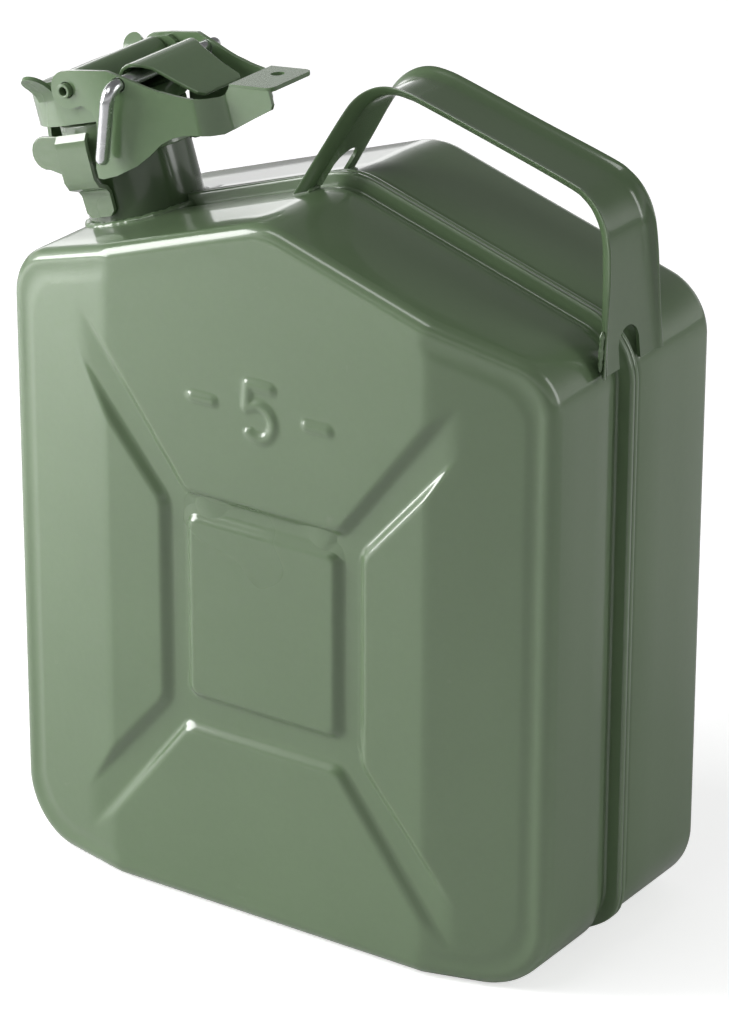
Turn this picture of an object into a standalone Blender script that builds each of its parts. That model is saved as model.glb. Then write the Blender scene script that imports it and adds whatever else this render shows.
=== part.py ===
"""Five litre pressed-steel fuel can: two pressed halves, channel handle, spout neck and cam-lever closure.

Sizes are in millimetres. X runs along the width, with the spout at -X, Y through the thickness, with
the pressed front at -Y, and Z up. The shapes are drawn from the middle of the body, and FRAME_X then
moves them so that the origin lies under the middle of the whole can, closure included.
"""

import math

import bpy
import numpy as np
from mathutils import Vector
from mathutils.geometry import delaunay_2d_cdt

MM = 0.001
FRAME_X = 6.7
SLIVER_AREA = 1e-3

# Body outline, seen from the front.
BODY_WIDTH = 220.0
BODY_DEPTH = 108.6
RIDGE_X = 2.8
RIDGE_Z = 257.6
RIDGE_RADIUS = 25.0
ROOF_LEFT_DEG = 18.2
ROOF_RIGHT_DEG = 17.4
SHOULDER_RADIUS = 21.0
BASE_RADIUS = 24.0
EDGE_RADIUS = 4.75
SHEET = 0.9

# Front facets, which fall back from two upright creases.
CREASE_LEFT_X = -61.6
CREASE_RIGHT_X = 66.2
FACET_LEFT_FALL = 11.4
FACET_RIGHT_FALL = 12.1

# Seam: a folded flange that stands in a shallow valley between the halves.
SEAM_GAP = 0.3
FLANGE_THICK = 2.05
FLANGE_RISE = 3.2
FLANGE_BASE_RECESS = 0.6
FLANGE_CORNER_RADIUS = 17.0
VALLEY_HALF = 7.7
VALLEY_DEPTH = 2.6

# Pressed pattern: raised pad, ring channel round it and four diagonal channels.
PATTERN_X = 1.5
PRESS_DEPTH = 2.8
PRESS_SLOPE = 4.8
PAD_SLOPE = 4.4
PATTERN_STEP = 9.0
PAD_HALF = 32.8
PAD_TOP_Z = 148.9
PAD_BASE_Z = 77.5
RING_HALF = 43.0
RING_TOP_Z = 157.3
RING_BASE_Z = 65.0
ARM_END = 74.0
# Each arm runs outwards from a ring corner: start, end and half-widths at both.
ARMS = (
    ((-30.0, 146.5), (-72.0, 199.0), 7.5, 9.5),
    ((33.0, 146.5), (74.0, 196.0), 7.5, 9.5),
    ((-30.0, 77.0), (-72.0, 26.0), 8.0, 9.5),
    ((33.0, 75.0), (76.0, 22.0), 7.5, 9.5),
)

# Handle: one channel-section strap, open outwards. A station is x as a share of half the width,
# z above the ridge, root half-width, flare and height.
HANDLE_SHEET = 1.2
HANDLE_STATIONS = (
    (-0.1045, -11.3, 14.0, 1.6, 4.0),
    (-0.0591, -3.1, 13.8, 1.6, 4.0),
    (0.0182, 10.9, 12.8, 2.0, 4.0),
    (0.0891, 23.7, 11.8, 2.4, 4.0),
    (0.1291, 29.6, 11.4, 2.5, 4.1),
    (0.1745, 33.4, 11.1, 2.6, 4.1),
    (0.2227, 35.1, 11.0, 2.6, 4.1),
    (0.2773, 34.8, 11.0, 2.6, 4.1),
    (0.3455, 33.1, 11.0, 2.6, 4.0),
    (0.6, 25.0, 11.0, 2.6, 4.0),
    (0.8364, 17.4, 11.6, 2.4, 4.1),
    (0.8982, 14.4, 12.0, 2.0, 4.3),
    (0.9382, 10.0, 12.6, 1.7, 4.4),
    (0.9636, 3.4, 13.2, 1.4, 4.5),
    (0.9745, -6.6, 14.1, 1.0, 4.5),
    (0.9809, -19.6, 15.2, 1.1, 4.0),
    (0.9891, -33.6, 16.4, 1.4, 3.2),
    (0.9964, -42.1, 17.2, 1.6, 2.6),
)
FOOT_CLEARANCE = 0.3
ARCH_HALF = 6.4
ARCH_RIGHT_TOP = -29.1
ARCH_LEFT_HEIGHT = 15.0

# Spout neck. The closure frame has its origin on the lever pivot, u back along the lever and v up the neck.
TILT_DEG = 17.0
PIVOT_IN = 12.96
PIVOT_RISE = 18.87
NECK_U = -1.0
NECK_RADIUS = 20.5
NECK_WALL = 1.5
NECK_TOP_V = -13.2
NECK_INSERT = 4.0
NECK_CLEARANCE = 0.4
BEAD_RADIUS = NECK_RADIUS + 2.5
BEAD_HEIGHT = 1.6
BEAD_LIFT = 1.2
SLOT_DEPTH = 0.9
SLOT_TALL = 2.6
SLOT_HALF_DEG = 28.0
COLLAR_WALL = 1.6
COLLAR_LENGTH = 13.6
COLLAR_LIP = 2.2
COLLAR_LIP_TALL = 1.8
FIT = 0.3

# Front hinge of the closure.
HINGE_U = -NECK_RADIUS - 7.0
HINGE_V = -23.0
HINGE_PIN_RADIUS = 2.0
EAR_RADIUS = 6.0
EAR_INNER_Y = 13.0
EAR_SHEET = 1.6
EAR_ROOT_U = HINGE_U + 9.5
EAR_LOW = 10.2
PIN_SEAT = 0.9
HINGE_PIN_HALF = EAR_INNER_Y + PIN_SEAT - 0.2

# Lever pivot, the hollow pin that joins lid and lever.
PIVOT_PIN_RADIUS = 2.6
PIVOT_PIN_BORE = 1.5

# Lid, gasket and yoke.
LID_RADIUS = NECK_RADIUS + 2.7
LID_SHEET = 1.1
LID_TOP_V = NECK_TOP_V + 6.9
LID_SKIRT_V = NECK_TOP_V + 0.4
GASKET_INNER = NECK_RADIUS - 3.5
GASKET_GAP = 0.2
YOKE_SHEET = 1.5
YOKE_HALF = NECK_RADIUS + 4.6
YOKE_FRONT_U = HINGE_U - 3.3
YOKE_BACK_U = 9.6
YOKE_TOP_V = 0.4
YOKE_LOW_V = -12.4
YOKE_EAR_TOP_V = 5.2
YOKE_ARM_HALF = 6.0
TONGUE_WIDTH = 8.4
TONGUE_U = 10.8
TONGUE_LEAN = 0.2

# Bridge strap over the lid, curled round the pivot pin.
STRAP_SHEET = 1.3
STRAP_CURL_RADIUS = 5.1
STRAP_CURL_HALF = YOKE_HALF - 2.1
STRAP_NECK_HALF = 17.5
STRAP_TAIL_HALF = 12.0

# Lever: two cheeks joined by the finger tab.
LEVER_SHEET = 1.5
CHEEK_INNER_Y = YOKE_HALF + 0.4
CHEEK_OUTER_Y = CHEEK_INNER_Y + LEVER_SHEET
PIVOT_PIN_HALF = CHEEK_OUTER_Y + 2.0
TAPER_U = 18.0
WAIST_IN = 5.8
TAIL_INNER_Y = 11.0
TAIL_END_U = 73.0
TAB_END_U = 73.9
BEND_START_U = 46.0
BEND_END_U = 55.0
TAB_ROOT_U = 55.4
FAR_END_U = TAB_ROOT_U + 4.6
CHEEK_KNEE_U = 24.5
TAB_TOP_V = -9.0
TAB_SLOPE = 0.2
TAB_HOLE_U = 65.2
TAB_HOLE_Y = 4.2
TAB_HOLE_RADIUS = 2.4
TAB_SHEET = 1.5

# Locking pin: bent zinc-plated wire.
LOCK_U = 21.8
LOCK_V = -0.9
LOCK_RADIUS = 2.4
LOCK_FAR_Y = CHEEK_OUTER_Y + 4.0
LOCK_BEND_Y = -CHEEK_OUTER_Y - 4.4
LOCK_BEND_RADIUS = 5.0
LOCK_LEG = 24.5
LOCK_LEG_LEAN_DEG = 23.5

# Side catches, which the lever's cam edges bear on.
CATCH_SHEET = 1.5
CATCH_OUTER_Y = CHEEK_OUTER_Y
CATCH_FOOT_Y = NECK_RADIUS + 1.1
CATCH_FRONT_U = -11.0
CATCH_BACK_U = 2.4
CATCH_TOP_V = -16.5
CATCH_KNEE_V = -33.0
CATCH_FOOT_GAP = 0.4

PAINT = (0.155, 0.215, 0.125, 1.0)
ZINC = (0.62, 0.64, 0.66, 1.0)
RUBBER = (0.025, 0.025, 0.027, 1.0)

HALF_WIDTH = BODY_WIDTH / 2
HALF_DEPTH = BODY_DEPTH / 2
TILT = math.radians(TILT_DEG)
PIVOT_X = -HALF_WIDTH + PIVOT_IN
PIVOT_Z = RIDGE_Z + PIVOT_RISE
COLLAR_RADIUS = NECK_RADIUS + FIT + COLLAR_WALL
LOCK_HOLE = LOCK_RADIUS + FIT
PIVOT_HOLE = PIVOT_PIN_RADIUS + FIT
HINGE_HOLE = HINGE_PIN_RADIUS + FIT


def roof_z(x, rise=0.0):
    """Height of the roof plane at x, each side falling from the ridge at its own slope."""
    left = RIDGE_Z - (RIDGE_X - x) * math.tan(math.radians(ROOF_LEFT_DEG))
    right = RIDGE_Z - (x - RIDGE_X) * math.tan(math.radians(ROOF_RIGHT_DEG))
    slope = ROOF_LEFT_DEG if x < RIDGE_X else ROOF_RIGHT_DEG
    return min(left, right) + rise / math.cos(math.radians(slope))


def neck_root_v():
    """v at which the neck's axis meets the roof."""
    slope = math.tan(math.radians(ROOF_LEFT_DEG))
    axis_x, axis_z = world_xz(NECK_U, 0.0)
    fall = axis_z - (RIDGE_Z - (RIDGE_X - axis_x) * slope)
    return -fall / (math.cos(TILT) + slope * math.sin(TILT))


def world_xz(u, v):
    """World x and z of a point of the closure frame."""
    c, s = math.cos(TILT), math.sin(TILT)
    return PIVOT_X + u * c - v * s, PIVOT_Z + u * s + v * c


def from_closure(points):
    """World points from rows of u, y, v."""
    points = np.asarray(points, float)
    c, s = math.cos(TILT), math.sin(TILT)
    x = PIVOT_X + points[:, 0] * c - points[:, 2] * s
    z = PIVOT_Z + points[:, 0] * s + points[:, 2] * c
    return np.column_stack([x, points[:, 1], z])


def paint_material(name, colour, metallic, roughness):
    mat = bpy.data.materials.new(name)
    mat.use_nodes = True
    shader = mat.node_tree.nodes["Principled BSDF"]
    shader.inputs["Base Color"].default_value = colour
    shader.inputs["Metallic"].default_value = metallic
    shader.inputs["Roughness"].default_value = roughness
    return mat


def add(name, points, faces, material=None, origin=None, helper=False):
    """New object from points in millimetres, faces outwards, with its origin at the given point."""
    points = np.asarray(points, float)
    shift = np.array([FRAME_X, 0.0, 0.0])
    base = shift if origin is None else np.asarray(origin, float) + shift
    volume = 0.0
    for face in faces:
        a = points[face[0]]
        for i in range(1, len(face) - 1):
            volume += np.dot(a, np.cross(points[face[i]], points[face[i + 1]]))
    if volume < 0:
        faces = [tuple(reversed(face)) for face in faces]
    mesh = bpy.data.meshes.new(name)
    mesh.from_pydata([tuple(p) for p in (points + shift - base) * MM], [], [tuple(f) for f in faces])
    obj = bpy.data.objects.new(name, mesh)
    obj.location = Vector(base * MM)
    bpy.context.scene.collection.objects.link(obj)
    if material is not None:
        mesh.materials.append(material)
    if helper:
        obj.hide_render = True
        obj.display_type = "WIRE"
    return obj


def boolean(obj, other, operation):
    modifier = obj.modifiers.new(operation.lower() + "_" + other.name, "BOOLEAN")
    modifier.object = other
    modifier.operation = operation
    modifier.solver = "EXACT"


def stitched(rings, cap_ends=False, wrap=False):
    """Quads between rings of equal length, each ring closed on itself."""
    count = len(rings[0])
    faces = []
    total = len(rings)
    for i in range(total if wrap else total - 1):
        for j in range(count):
            k = (j + 1) % count
            m = (i + 1) % total
            faces.append((i * count + j, i * count + k, m * count + k, m * count + j))
    if cap_ends:
        faces.append(tuple(reversed(range(count))))
        faces.append(tuple((total - 1) * count + j for j in range(count)))
    return np.vstack(rings), faces


def inside(polygon, x, z):
    """Whether the point lies inside the polygon, by counting crossings."""
    hit = False
    for (xa, za), (xb, zb) in zip(polygon, polygon[1:] + polygon[:1]):
        if (za > z) != (zb > z) and x < (xb - xa) * (z - za) / (zb - za) + xa:
            hit = not hit
    return hit


def triangulated(outline, holes=(), lines=()):
    """Flat triangles of an outline less its holes, split along the given lines."""
    points, edges = [], []
    for loop in [list(outline)] + [list(h) for h in holes]:
        first = len(points)
        points += [Vector(p) for p in loop]
        edges += [(first + i, first + (i + 1) % len(loop)) for i in range(len(loop))]
    for a, b in lines:
        edges.append((len(points), len(points) + 1))
        points += [Vector(a), Vector(b)]
    verts, _, faces, _, _, _ = delaunay_2d_cdt(points, edges, [], 0, 1e-5)
    kept = []
    for face in faces:
        cx = sum(verts[i][0] for i in face) / 3
        cz = sum(verts[i][1] for i in face) / 3
        if inside(list(outline), cx, cz) and not any(inside(list(h), cx, cz) for h in holes):
            kept.append(tuple(face))
    used = sorted({i for face in kept for i in face})
    index = {old: new for new, old in enumerate(used)}
    flat = np.array([(verts[i][0], verts[i][1]) for i in used])
    return flat, [tuple(index[i] for i in face) for face in kept]


def thickened(near, far, faces):
    """Closed solid between two copies of one triangulation."""
    count = len(near)
    borders = {}
    for face in faces:
        for i in range(3):
            a, b = face[i], face[(i + 1) % 3]
            if (b, a) in borders:
                del borders[(b, a)]
            else:
                borders[(a, b)] = True
    solid = [tuple(face) for face in faces]
    solid += [tuple(count + i for i in reversed(face)) for face in faces]
    solid += [(b, a, count + a, count + b) for a, b in borders]
    return np.vstack([near, far]), solid


def circle(cx, cy, radius, count, start=0.0):
    step = 2 * math.pi / count
    return [
        (cx + radius * math.cos(start + i * step), cy + radius * math.sin(start + i * step))
        for i in range(count)
    ]


def arc(cx, cy, radius, from_deg, to_deg, count):
    angles = np.radians(np.linspace(from_deg, to_deg, count))
    return [(cx + radius * math.cos(a), cy + radius * math.sin(a)) for a in angles]


def offset_curve(curve, distance):
    """Open polyline moved sideways to its left, mitred at its corners."""
    curve = np.asarray(curve, float)
    step = np.diff(curve, axis=0)
    step /= np.linalg.norm(step, axis=1)[:, None]
    left = np.column_stack([-step[:, 1], step[:, 0]])
    first = np.vstack([left[:1], left])
    second = np.vstack([left, left[-1:]])
    mean = first + second
    scale = 2 / (mean * mean).sum(axis=1)
    return curve + mean * scale[:, None] * distance


def lengths(curve):
    steps = np.linalg.norm(np.diff(np.asarray(curve, float), axis=0), axis=1)
    return np.concatenate([[0.0], np.cumsum(steps)])


def bent_sheet(curve, outline, thickness, holes=()):
    """Sheet cut to an outline of distance and width, and bent along the curve; gives p, q, w."""
    at = lengths(curve)
    low = min(w for _, w in outline) - 1
    high = max(w for _, w in outline) + 1
    lines = [((s, low), (s, high)) for s in at[1:-1]]
    flat, faces = triangulated(outline, holes, lines)
    sides = []
    for distance in (thickness / 2, -thickness / 2):
        moved = offset_curve(curve, distance)
        p = np.interp(flat[:, 0], at, moved[:, 0])
        q = np.interp(flat[:, 0], at, moved[:, 1])
        sides.append(np.column_stack([p, q, flat[:, 1]]))
    return thickened(sides[0], sides[1], faces)


def plate(outline, y0, y1, holes=()):
    """Flat plate in u and v between two values of y; gives u, y, v."""
    flat, faces = triangulated(outline, holes)
    near = np.column_stack([flat[:, 0], np.full(len(flat), y0), flat[:, 1]])
    far = np.column_stack([flat[:, 0], np.full(len(flat), y1), flat[:, 1]])
    return thickened(near, far, faces)


def revolved(profile, count, centre_u=NECK_U):
    """Closed profile of radius and v turned round the neck's axis; gives u, y, v."""
    rings = []
    for radius, v in profile:
        ring = circle(centre_u, 0.0, radius, count)
        rings.append(np.array([(p[0], p[1], v) for p in ring]))
    return stitched(rings, wrap=True)


def cylinder_y(u, v, radius, y0, y1, count):
    rings = [np.array([(p[0], y, p[1]) for p in circle(u, v, radius, count)]) for y in (y0, y1)]
    return stitched(rings, cap_ends=True)


def cylinder_v(u, radius, v0, v1, count):
    rings = [np.array([(p[0], p[1], v) for p in circle(u, 0.0, radius, count)]) for v in (v0, v1)]
    return stitched(rings, cap_ends=True)


def body_loop(side, roof, base, base_radius, shoulder_radius, ridge_radius):
    """Outline of the body grown by a distance per side, with rounded corners, as x and z."""
    right_x, left_x = HALF_WIDTH + side, -HALF_WIDTH - side
    ridge = (RIDGE_X, min(roof_z(RIDGE_X - 1e-6, roof), roof_z(RIDGE_X, roof)))
    corners = [
        ((left_x, -base), base_radius, 7),
        ((right_x, -base), base_radius, 7),
        ((right_x, roof_z(right_x, roof)), shoulder_radius, 7),
        (ridge, ridge_radius, 5),
        ((left_x, roof_z(left_x, roof)), shoulder_radius, 7),
    ]
    between = [
        [(x, -base) for x in (CREASE_LEFT_X, PATTERN_X, CREASE_RIGHT_X)],
        [(right_x, z) for z in (90.0, 155.0)],
        [(x, roof_z(x, roof)) for x in (CREASE_RIGHT_X, 38.0)],
        [(x, roof_z(x, roof)) for x in (-30.0, CREASE_LEFT_X)],
        [(left_x, z) for z in (155.0, 90.0)],
    ]
    loop = []
    for i, (corner, radius, count) in enumerate(corners):
        here = np.array(corner)
        back = here - np.array(corners[i - 1][0])
        ahead = np.array(corners[(i + 1) % len(corners)][0]) - here
        back /= np.linalg.norm(back)
        ahead /= np.linalg.norm(ahead)
        turn = math.acos(float(np.clip(back @ ahead, -1, 1)))
        reach = radius * math.tan(turn / 2)
        start = here - back * reach
        centre = start + np.array([-back[1], back[0]]) * radius
        begin = math.atan2(start[1] - centre[1], start[0] - centre[0])
        for k in range(count):
            angle = begin + turn * k / (count - 1)
            loop.append((centre[0] + radius * math.cos(angle), centre[1] + radius * math.sin(angle)))
        loop += between[i]
    return np.array(loop)


def upright(loop, y):
    """Outline points stood up in the frame, at one y or one for each point."""
    return np.column_stack([loop[:, 0], np.zeros(len(loop)) + y, loop[:, 1]])


def wall_loop(grow):
    """Body outline grown evenly, its corners keeping their centres."""
    return body_loop(grow, grow, grow, BASE_RADIUS + grow, SHOULDER_RADIUS + grow, RIDGE_RADIUS + grow)


def facet_fall(x):
    """How far the front panel falls back at x, outside the two creases."""
    left = np.clip((CREASE_LEFT_X - x) / (HALF_WIDTH + CREASE_LEFT_X), 0, None) * FACET_LEFT_FALL
    right = np.clip((x - CREASE_RIGHT_X) / (HALF_WIDTH - CREASE_RIGHT_X), 0, None) * FACET_RIGHT_FALL
    return left + right


def arm_sides(arm):
    """Two edge lines of a diagonal channel."""
    (ax, az), (bx, bz), half_a, half_b = arm
    along = np.array([bx - ax, bz - az])
    along /= np.linalg.norm(along)
    across = np.array([-along[1], along[0]])
    a, b = np.array([ax, az]), np.array([bx, bz])
    return [(a + across * half_a * s, b + across * half_b * s) for s in (1, -1)]


def pressed_in(x, z):
    """Depth of the pressed channels at x and z: full depth one slope's width inside their edges."""
    dx = np.abs(x - PATTERN_X)
    mid = (RING_TOP_Z + RING_BASE_Z) / 2
    in_ring = np.minimum(RING_HALF - dx, (RING_TOP_Z - RING_BASE_Z) / 2 - np.abs(z - mid))
    pad_mid = (PAD_TOP_Z + PAD_BASE_Z) / 2
    off_pad = np.maximum(dx - PAD_HALF, np.abs(z - pad_mid) - (PAD_TOP_Z - PAD_BASE_Z) / 2) + PAD_SLOPE
    best = np.minimum(in_ring / PRESS_SLOPE, off_pad / PAD_SLOPE)
    for arm in ARMS:
        (ax, az), (bx, bz), half_a, half_b = arm
        length = math.hypot(bx - ax, bz - az)
        tx, tz = (bx - ax) / length, (bz - az) / length
        along = (x - ax) * tx + (z - az) * tz
        across = np.abs((z - az) * tx - (x - ax) * tz)
        half = half_a + (half_b - half_a) * along / length
        in_arm = np.minimum(half - across, ARM_END - dx) / PRESS_SLOPE
        best = np.maximum(best, np.minimum(in_arm, off_pad / PAD_SLOPE))
    return PRESS_DEPTH * np.clip(best, 0, 1)


def pattern_lines():
    """Edges and feet of the pressed channels, as pairs of points."""
    lines = []
    for share in (0.0, 1.0):
        inset = PRESS_SLOPE * share
        for half, low, high, shrink in (
            (RING_HALF, RING_BASE_Z, RING_TOP_Z, inset),
            (PAD_HALF, PAD_BASE_Z, PAD_TOP_Z, PAD_SLOPE * share),
        ):
            x0, x1 = PATTERN_X - half + shrink, PATTERN_X + half - shrink
            z0, z1 = low + shrink, high - shrink
            box = [(x0, z0), (x1, z0), (x1, z1), (x0, z1)]
            lines += list(zip(box, box[1:] + box[:1]))
        for arm in ARMS:
            start, end, half_a, half_b = arm
            for a, b in arm_sides((start, end, half_a - inset, half_b - inset)):
                lines.append((tuple(a), tuple(b)))
    return lines


def make_shell(name, sign, faceted, material):
    """One pressed half: flange, seam valley, wall, rounded edge and pressed panel, with its inner skin."""
    gap = SEAM_GAP / 2
    flange = body_loop(
        FLANGE_RISE,
        FLANGE_RISE,
        -FLANGE_BASE_RECESS,
        FLANGE_CORNER_RADIUS,
        FLANGE_CORNER_RADIUS,
        RIDGE_RADIUS + FLANGE_RISE,
    )
    soft = body_loop(
        FLANGE_RISE - 0.6,
        FLANGE_RISE - 0.6,
        -FLANGE_BASE_RECESS - 0.6,
        FLANGE_CORNER_RADIUS,
        FLANGE_CORNER_RADIUS,
        RIDGE_RADIUS + FLANGE_RISE,
    )
    panel = wall_loop(-EDGE_RADIUS)
    fall = facet_fall(panel[:, 0]) if faceted else np.zeros(len(panel))
    face_y = HALF_DEPTH - fall
    top = gap + FLANGE_THICK
    rings = [
        (flange, gap),
        (flange, top - 0.6),
        (soft, top),
        (wall_loop(-VALLEY_DEPTH), top + 0.5),
        (wall_loop(-VALLEY_DEPTH), VALLEY_HALF - 1.9),
        (wall_loop(-VALLEY_DEPTH * 0.6), VALLEY_HALF - 0.8),
        (wall_loop(-VALLEY_DEPTH * 0.15), VALLEY_HALF),
        (wall_loop(0.0), VALLEY_HALF + 0.9),
    ]
    for degrees in (0, 22.5, 45, 67.5):
        a = math.radians(degrees)
        loop = wall_loop(-EDGE_RADIUS * (1 - math.cos(a)))
        rings.append((loop, face_y - EDGE_RADIUS + EDGE_RADIUS * math.sin(a)))
    rings.append((panel, face_y))
    outer = [upright(loop, y) for loop, y in rings]
    inner_rings = [(panel, face_y - SHEET)]
    inner_radius = EDGE_RADIUS - SHEET
    for degrees in (60, 30, 0):
        a = math.radians(degrees)
        loop = wall_loop(-EDGE_RADIUS + inner_radius * math.cos(a))
        inner_rings.append((loop, face_y - EDGE_RADIUS + inner_radius * math.sin(a)))
    inner_rings += [
        (wall_loop(-SHEET), VALLEY_HALF + 1.4),
        (wall_loop(-VALLEY_DEPTH * 0.6 - SHEET), VALLEY_HALF),
        (wall_loop(-VALLEY_DEPTH - SHEET), VALLEY_HALF - 1.2),
        (wall_loop(-VALLEY_DEPTH - SHEET), gap),
    ]
    inner = [upright(loop, y) for loop, y in inner_rings]
    count = len(panel)
    points, faces = stitched(outer)
    points_in, faces_in = stitched(inner)
    shift = len(points)
    faces += [tuple(i + shift for i in face) for face in faces_in]
    last = shift + (len(inner) - 1) * count
    faces += [(last + j, last + (j + 1) % count, (j + 1) % count, j) for j in range(count)]
    points = np.vstack([points, points_in])
    # The panel is cut along its pressed lines and shares the last outer and first inner ring.
    verts = [Vector(p) for p in panel]
    edges = [(j, (j + 1) % count) for j in range(count)]
    for crease in (CREASE_LEFT_X, CREASE_RIGHT_X):
        ends = [j for j in range(count) if abs(panel[j, 0] - crease) < 1e-6]
        edges.append((ends[0], ends[1]))
    for a, b in pattern_lines():
        edges.append((len(verts), len(verts) + 1))
        verts += [Vector(a), Vector(b)]
    for x in np.arange(-ARM_END - PATTERN_STEP, ARM_END + 2 * PATTERN_STEP, PATTERN_STEP):
        for z in np.arange(BASE_RADIUS, RIDGE_Z - 2 * RIDGE_RADIUS, PATTERN_STEP):
            if pressed_in(x, z) > 0 or facet_fall(x) > 0:
                verts.append(Vector((x, z)))
    cut, _, cut_faces, origins, _, _ = delaunay_2d_cdt(verts, edges, [], 0, 1e-5)
    flat = np.array([(v[0], v[1]) for v in cut])
    depth = pressed_in(flat[:, 0], flat[:, 1])
    if faceted:
        depth = np.maximum(depth, facet_fall(flat[:, 0]))
    for skin, first, lift in ((0, (len(outer) - 1) * count, 0.0), (1, shift, SHEET)):
        index = {}
        extra = []
        for i, source in enumerate(origins):
            ring = [s for s in source if s < count]
            if ring:
                index[i] = first + ring[0]
            else:
                index[i] = len(points) + len(extra)
                extra.append((flat[i, 0], HALF_DEPTH - depth[i] - lift, flat[i, 1]))
        points = np.vstack([points, extra])
        for face in cut_faces:
            (ax, az), (bx, bz), (cx, cz) = (flat[i] for i in face)
            # The hull closes straight sides with slivers of no area, which aren't part of the panel.
            if abs((bx - ax) * (cz - az) - (cx - ax) * (bz - az)) > SLIVER_AREA:
                faces.append(tuple(index[i] for i in face))
    points = points * np.array([1, sign, 1])
    return add(name, points, consistent(faces), material)


def consistent(faces):
    """The same faces with neighbours turned to agree."""
    owners = {}
    for number, face in enumerate(faces):
        for i in range(len(face)):
            a, b = face[i], face[(i + 1) % len(face)]
            owners.setdefault((min(a, b), max(a, b)), []).append(number)
    faces = [tuple(face) for face in faces]
    done = [False] * len(faces)
    for seed in range(len(faces)):
        if done[seed]:
            continue
        done[seed] = True
        stack = [seed]
        while stack:
            here = stack.pop()
            face = faces[here]
            for i in range(len(face)):
                a, b = face[i], face[(i + 1) % len(face)]
                for other in owners[(min(a, b), max(a, b))]:
                    if done[other]:
                        continue
                    twin = faces[other]
                    pairs = list(zip(twin, twin[1:] + twin[:1]))
                    if (a, b) in pairs:
                        faces[other] = tuple(reversed(twin))
                    done[other] = True
                    stack.append(other)
    return faces


def make_handle(material):
    stations = np.array(HANDLE_STATIONS) * (HALF_WIDTH, 1, 1, 1, 1) + (0, RIDGE_Z, 0, 0, 0)
    path = stations[:, :2]
    step = np.gradient(path, axis=0)
    step /= np.linalg.norm(step, axis=1)[:, None]
    t = HANDLE_SHEET
    rings = []
    for (x, z, root, flare, height), (dx, dz) in zip(stations, step):
        half = [
            (0.0, 0.0),
            (root - 2.2, 0.0),
            (root - 0.5, 0.5),
            (root + 0.35 * flare, 1.9),
            (root + flare, height),
            (root + flare - t, height),
            (root + 0.35 * flare - t * 0.9, 2.1 + 0.3 * t),
            (root - 1.6, t + 0.5),
            (root - 3.2, t),
            (0.0, t),
        ]
        section = half[1:-1] + [half[-1]] + [(-y, n) for y, n in reversed(half[1:-1])] + [half[0]]
        rings.append(np.array([(x - n * dz, y, z + n * dx) for y, n in section]))
    points, faces = stitched(rings, cap_ends=True)
    handle = add("handle", points, consistent(faces), material)
    # Feet end on the roof and on the end wall, and arch over the seam.
    loop = wall_loop(FOOT_CLEARANCE)
    rings = [upright(loop, y) for y in (-HALF_DEPTH, HALF_DEPTH)]
    points, faces = stitched(rings, cap_ends=True)
    boolean(handle, add("cut_handle_feet", points, consistent(faces), helper=True), "DIFFERENCE")
    top = RIDGE_Z + ARCH_RIGHT_TOP - ARCH_HALF
    slot = [(-ARCH_HALF, top - 40)] + [(ARCH_HALF, top - 40)] + arc(0, top, ARCH_HALF, 0, 180, 11)
    rings = [np.array([(x, y, z) for y, z in slot]) for x in (HALF_WIDTH - 12, HALF_WIDTH + 12)]
    points, faces = stitched(rings, cap_ends=True)
    boolean(handle, add("cut_right_arch", points, consistent(faces), helper=True), "DIFFERENCE")
    foot, knee = path[1], path[2]
    lean = (knee - foot) / np.linalg.norm(knee - foot)
    out = np.array([-lean[1], lean[0]])
    top = ARCH_LEFT_HEIGHT - ARCH_HALF
    slot = [(-ARCH_HALF, -30.0)] + [(ARCH_HALF, -30.0)] + arc(0, top, ARCH_HALF, 0, 180, 11)
    rings = []
    for n in (-12.0, 12.0):
        base = foot + out * n
        rings.append(np.array([(base[0] + lean[0] * s, y, base[1] + lean[1] * s) for y, s in slot]))
    points, faces = stitched(rings, cap_ends=True)
    boolean(handle, add("cut_left_arch", points, consistent(faces), helper=True), "DIFFERENCE")
    return handle


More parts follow.
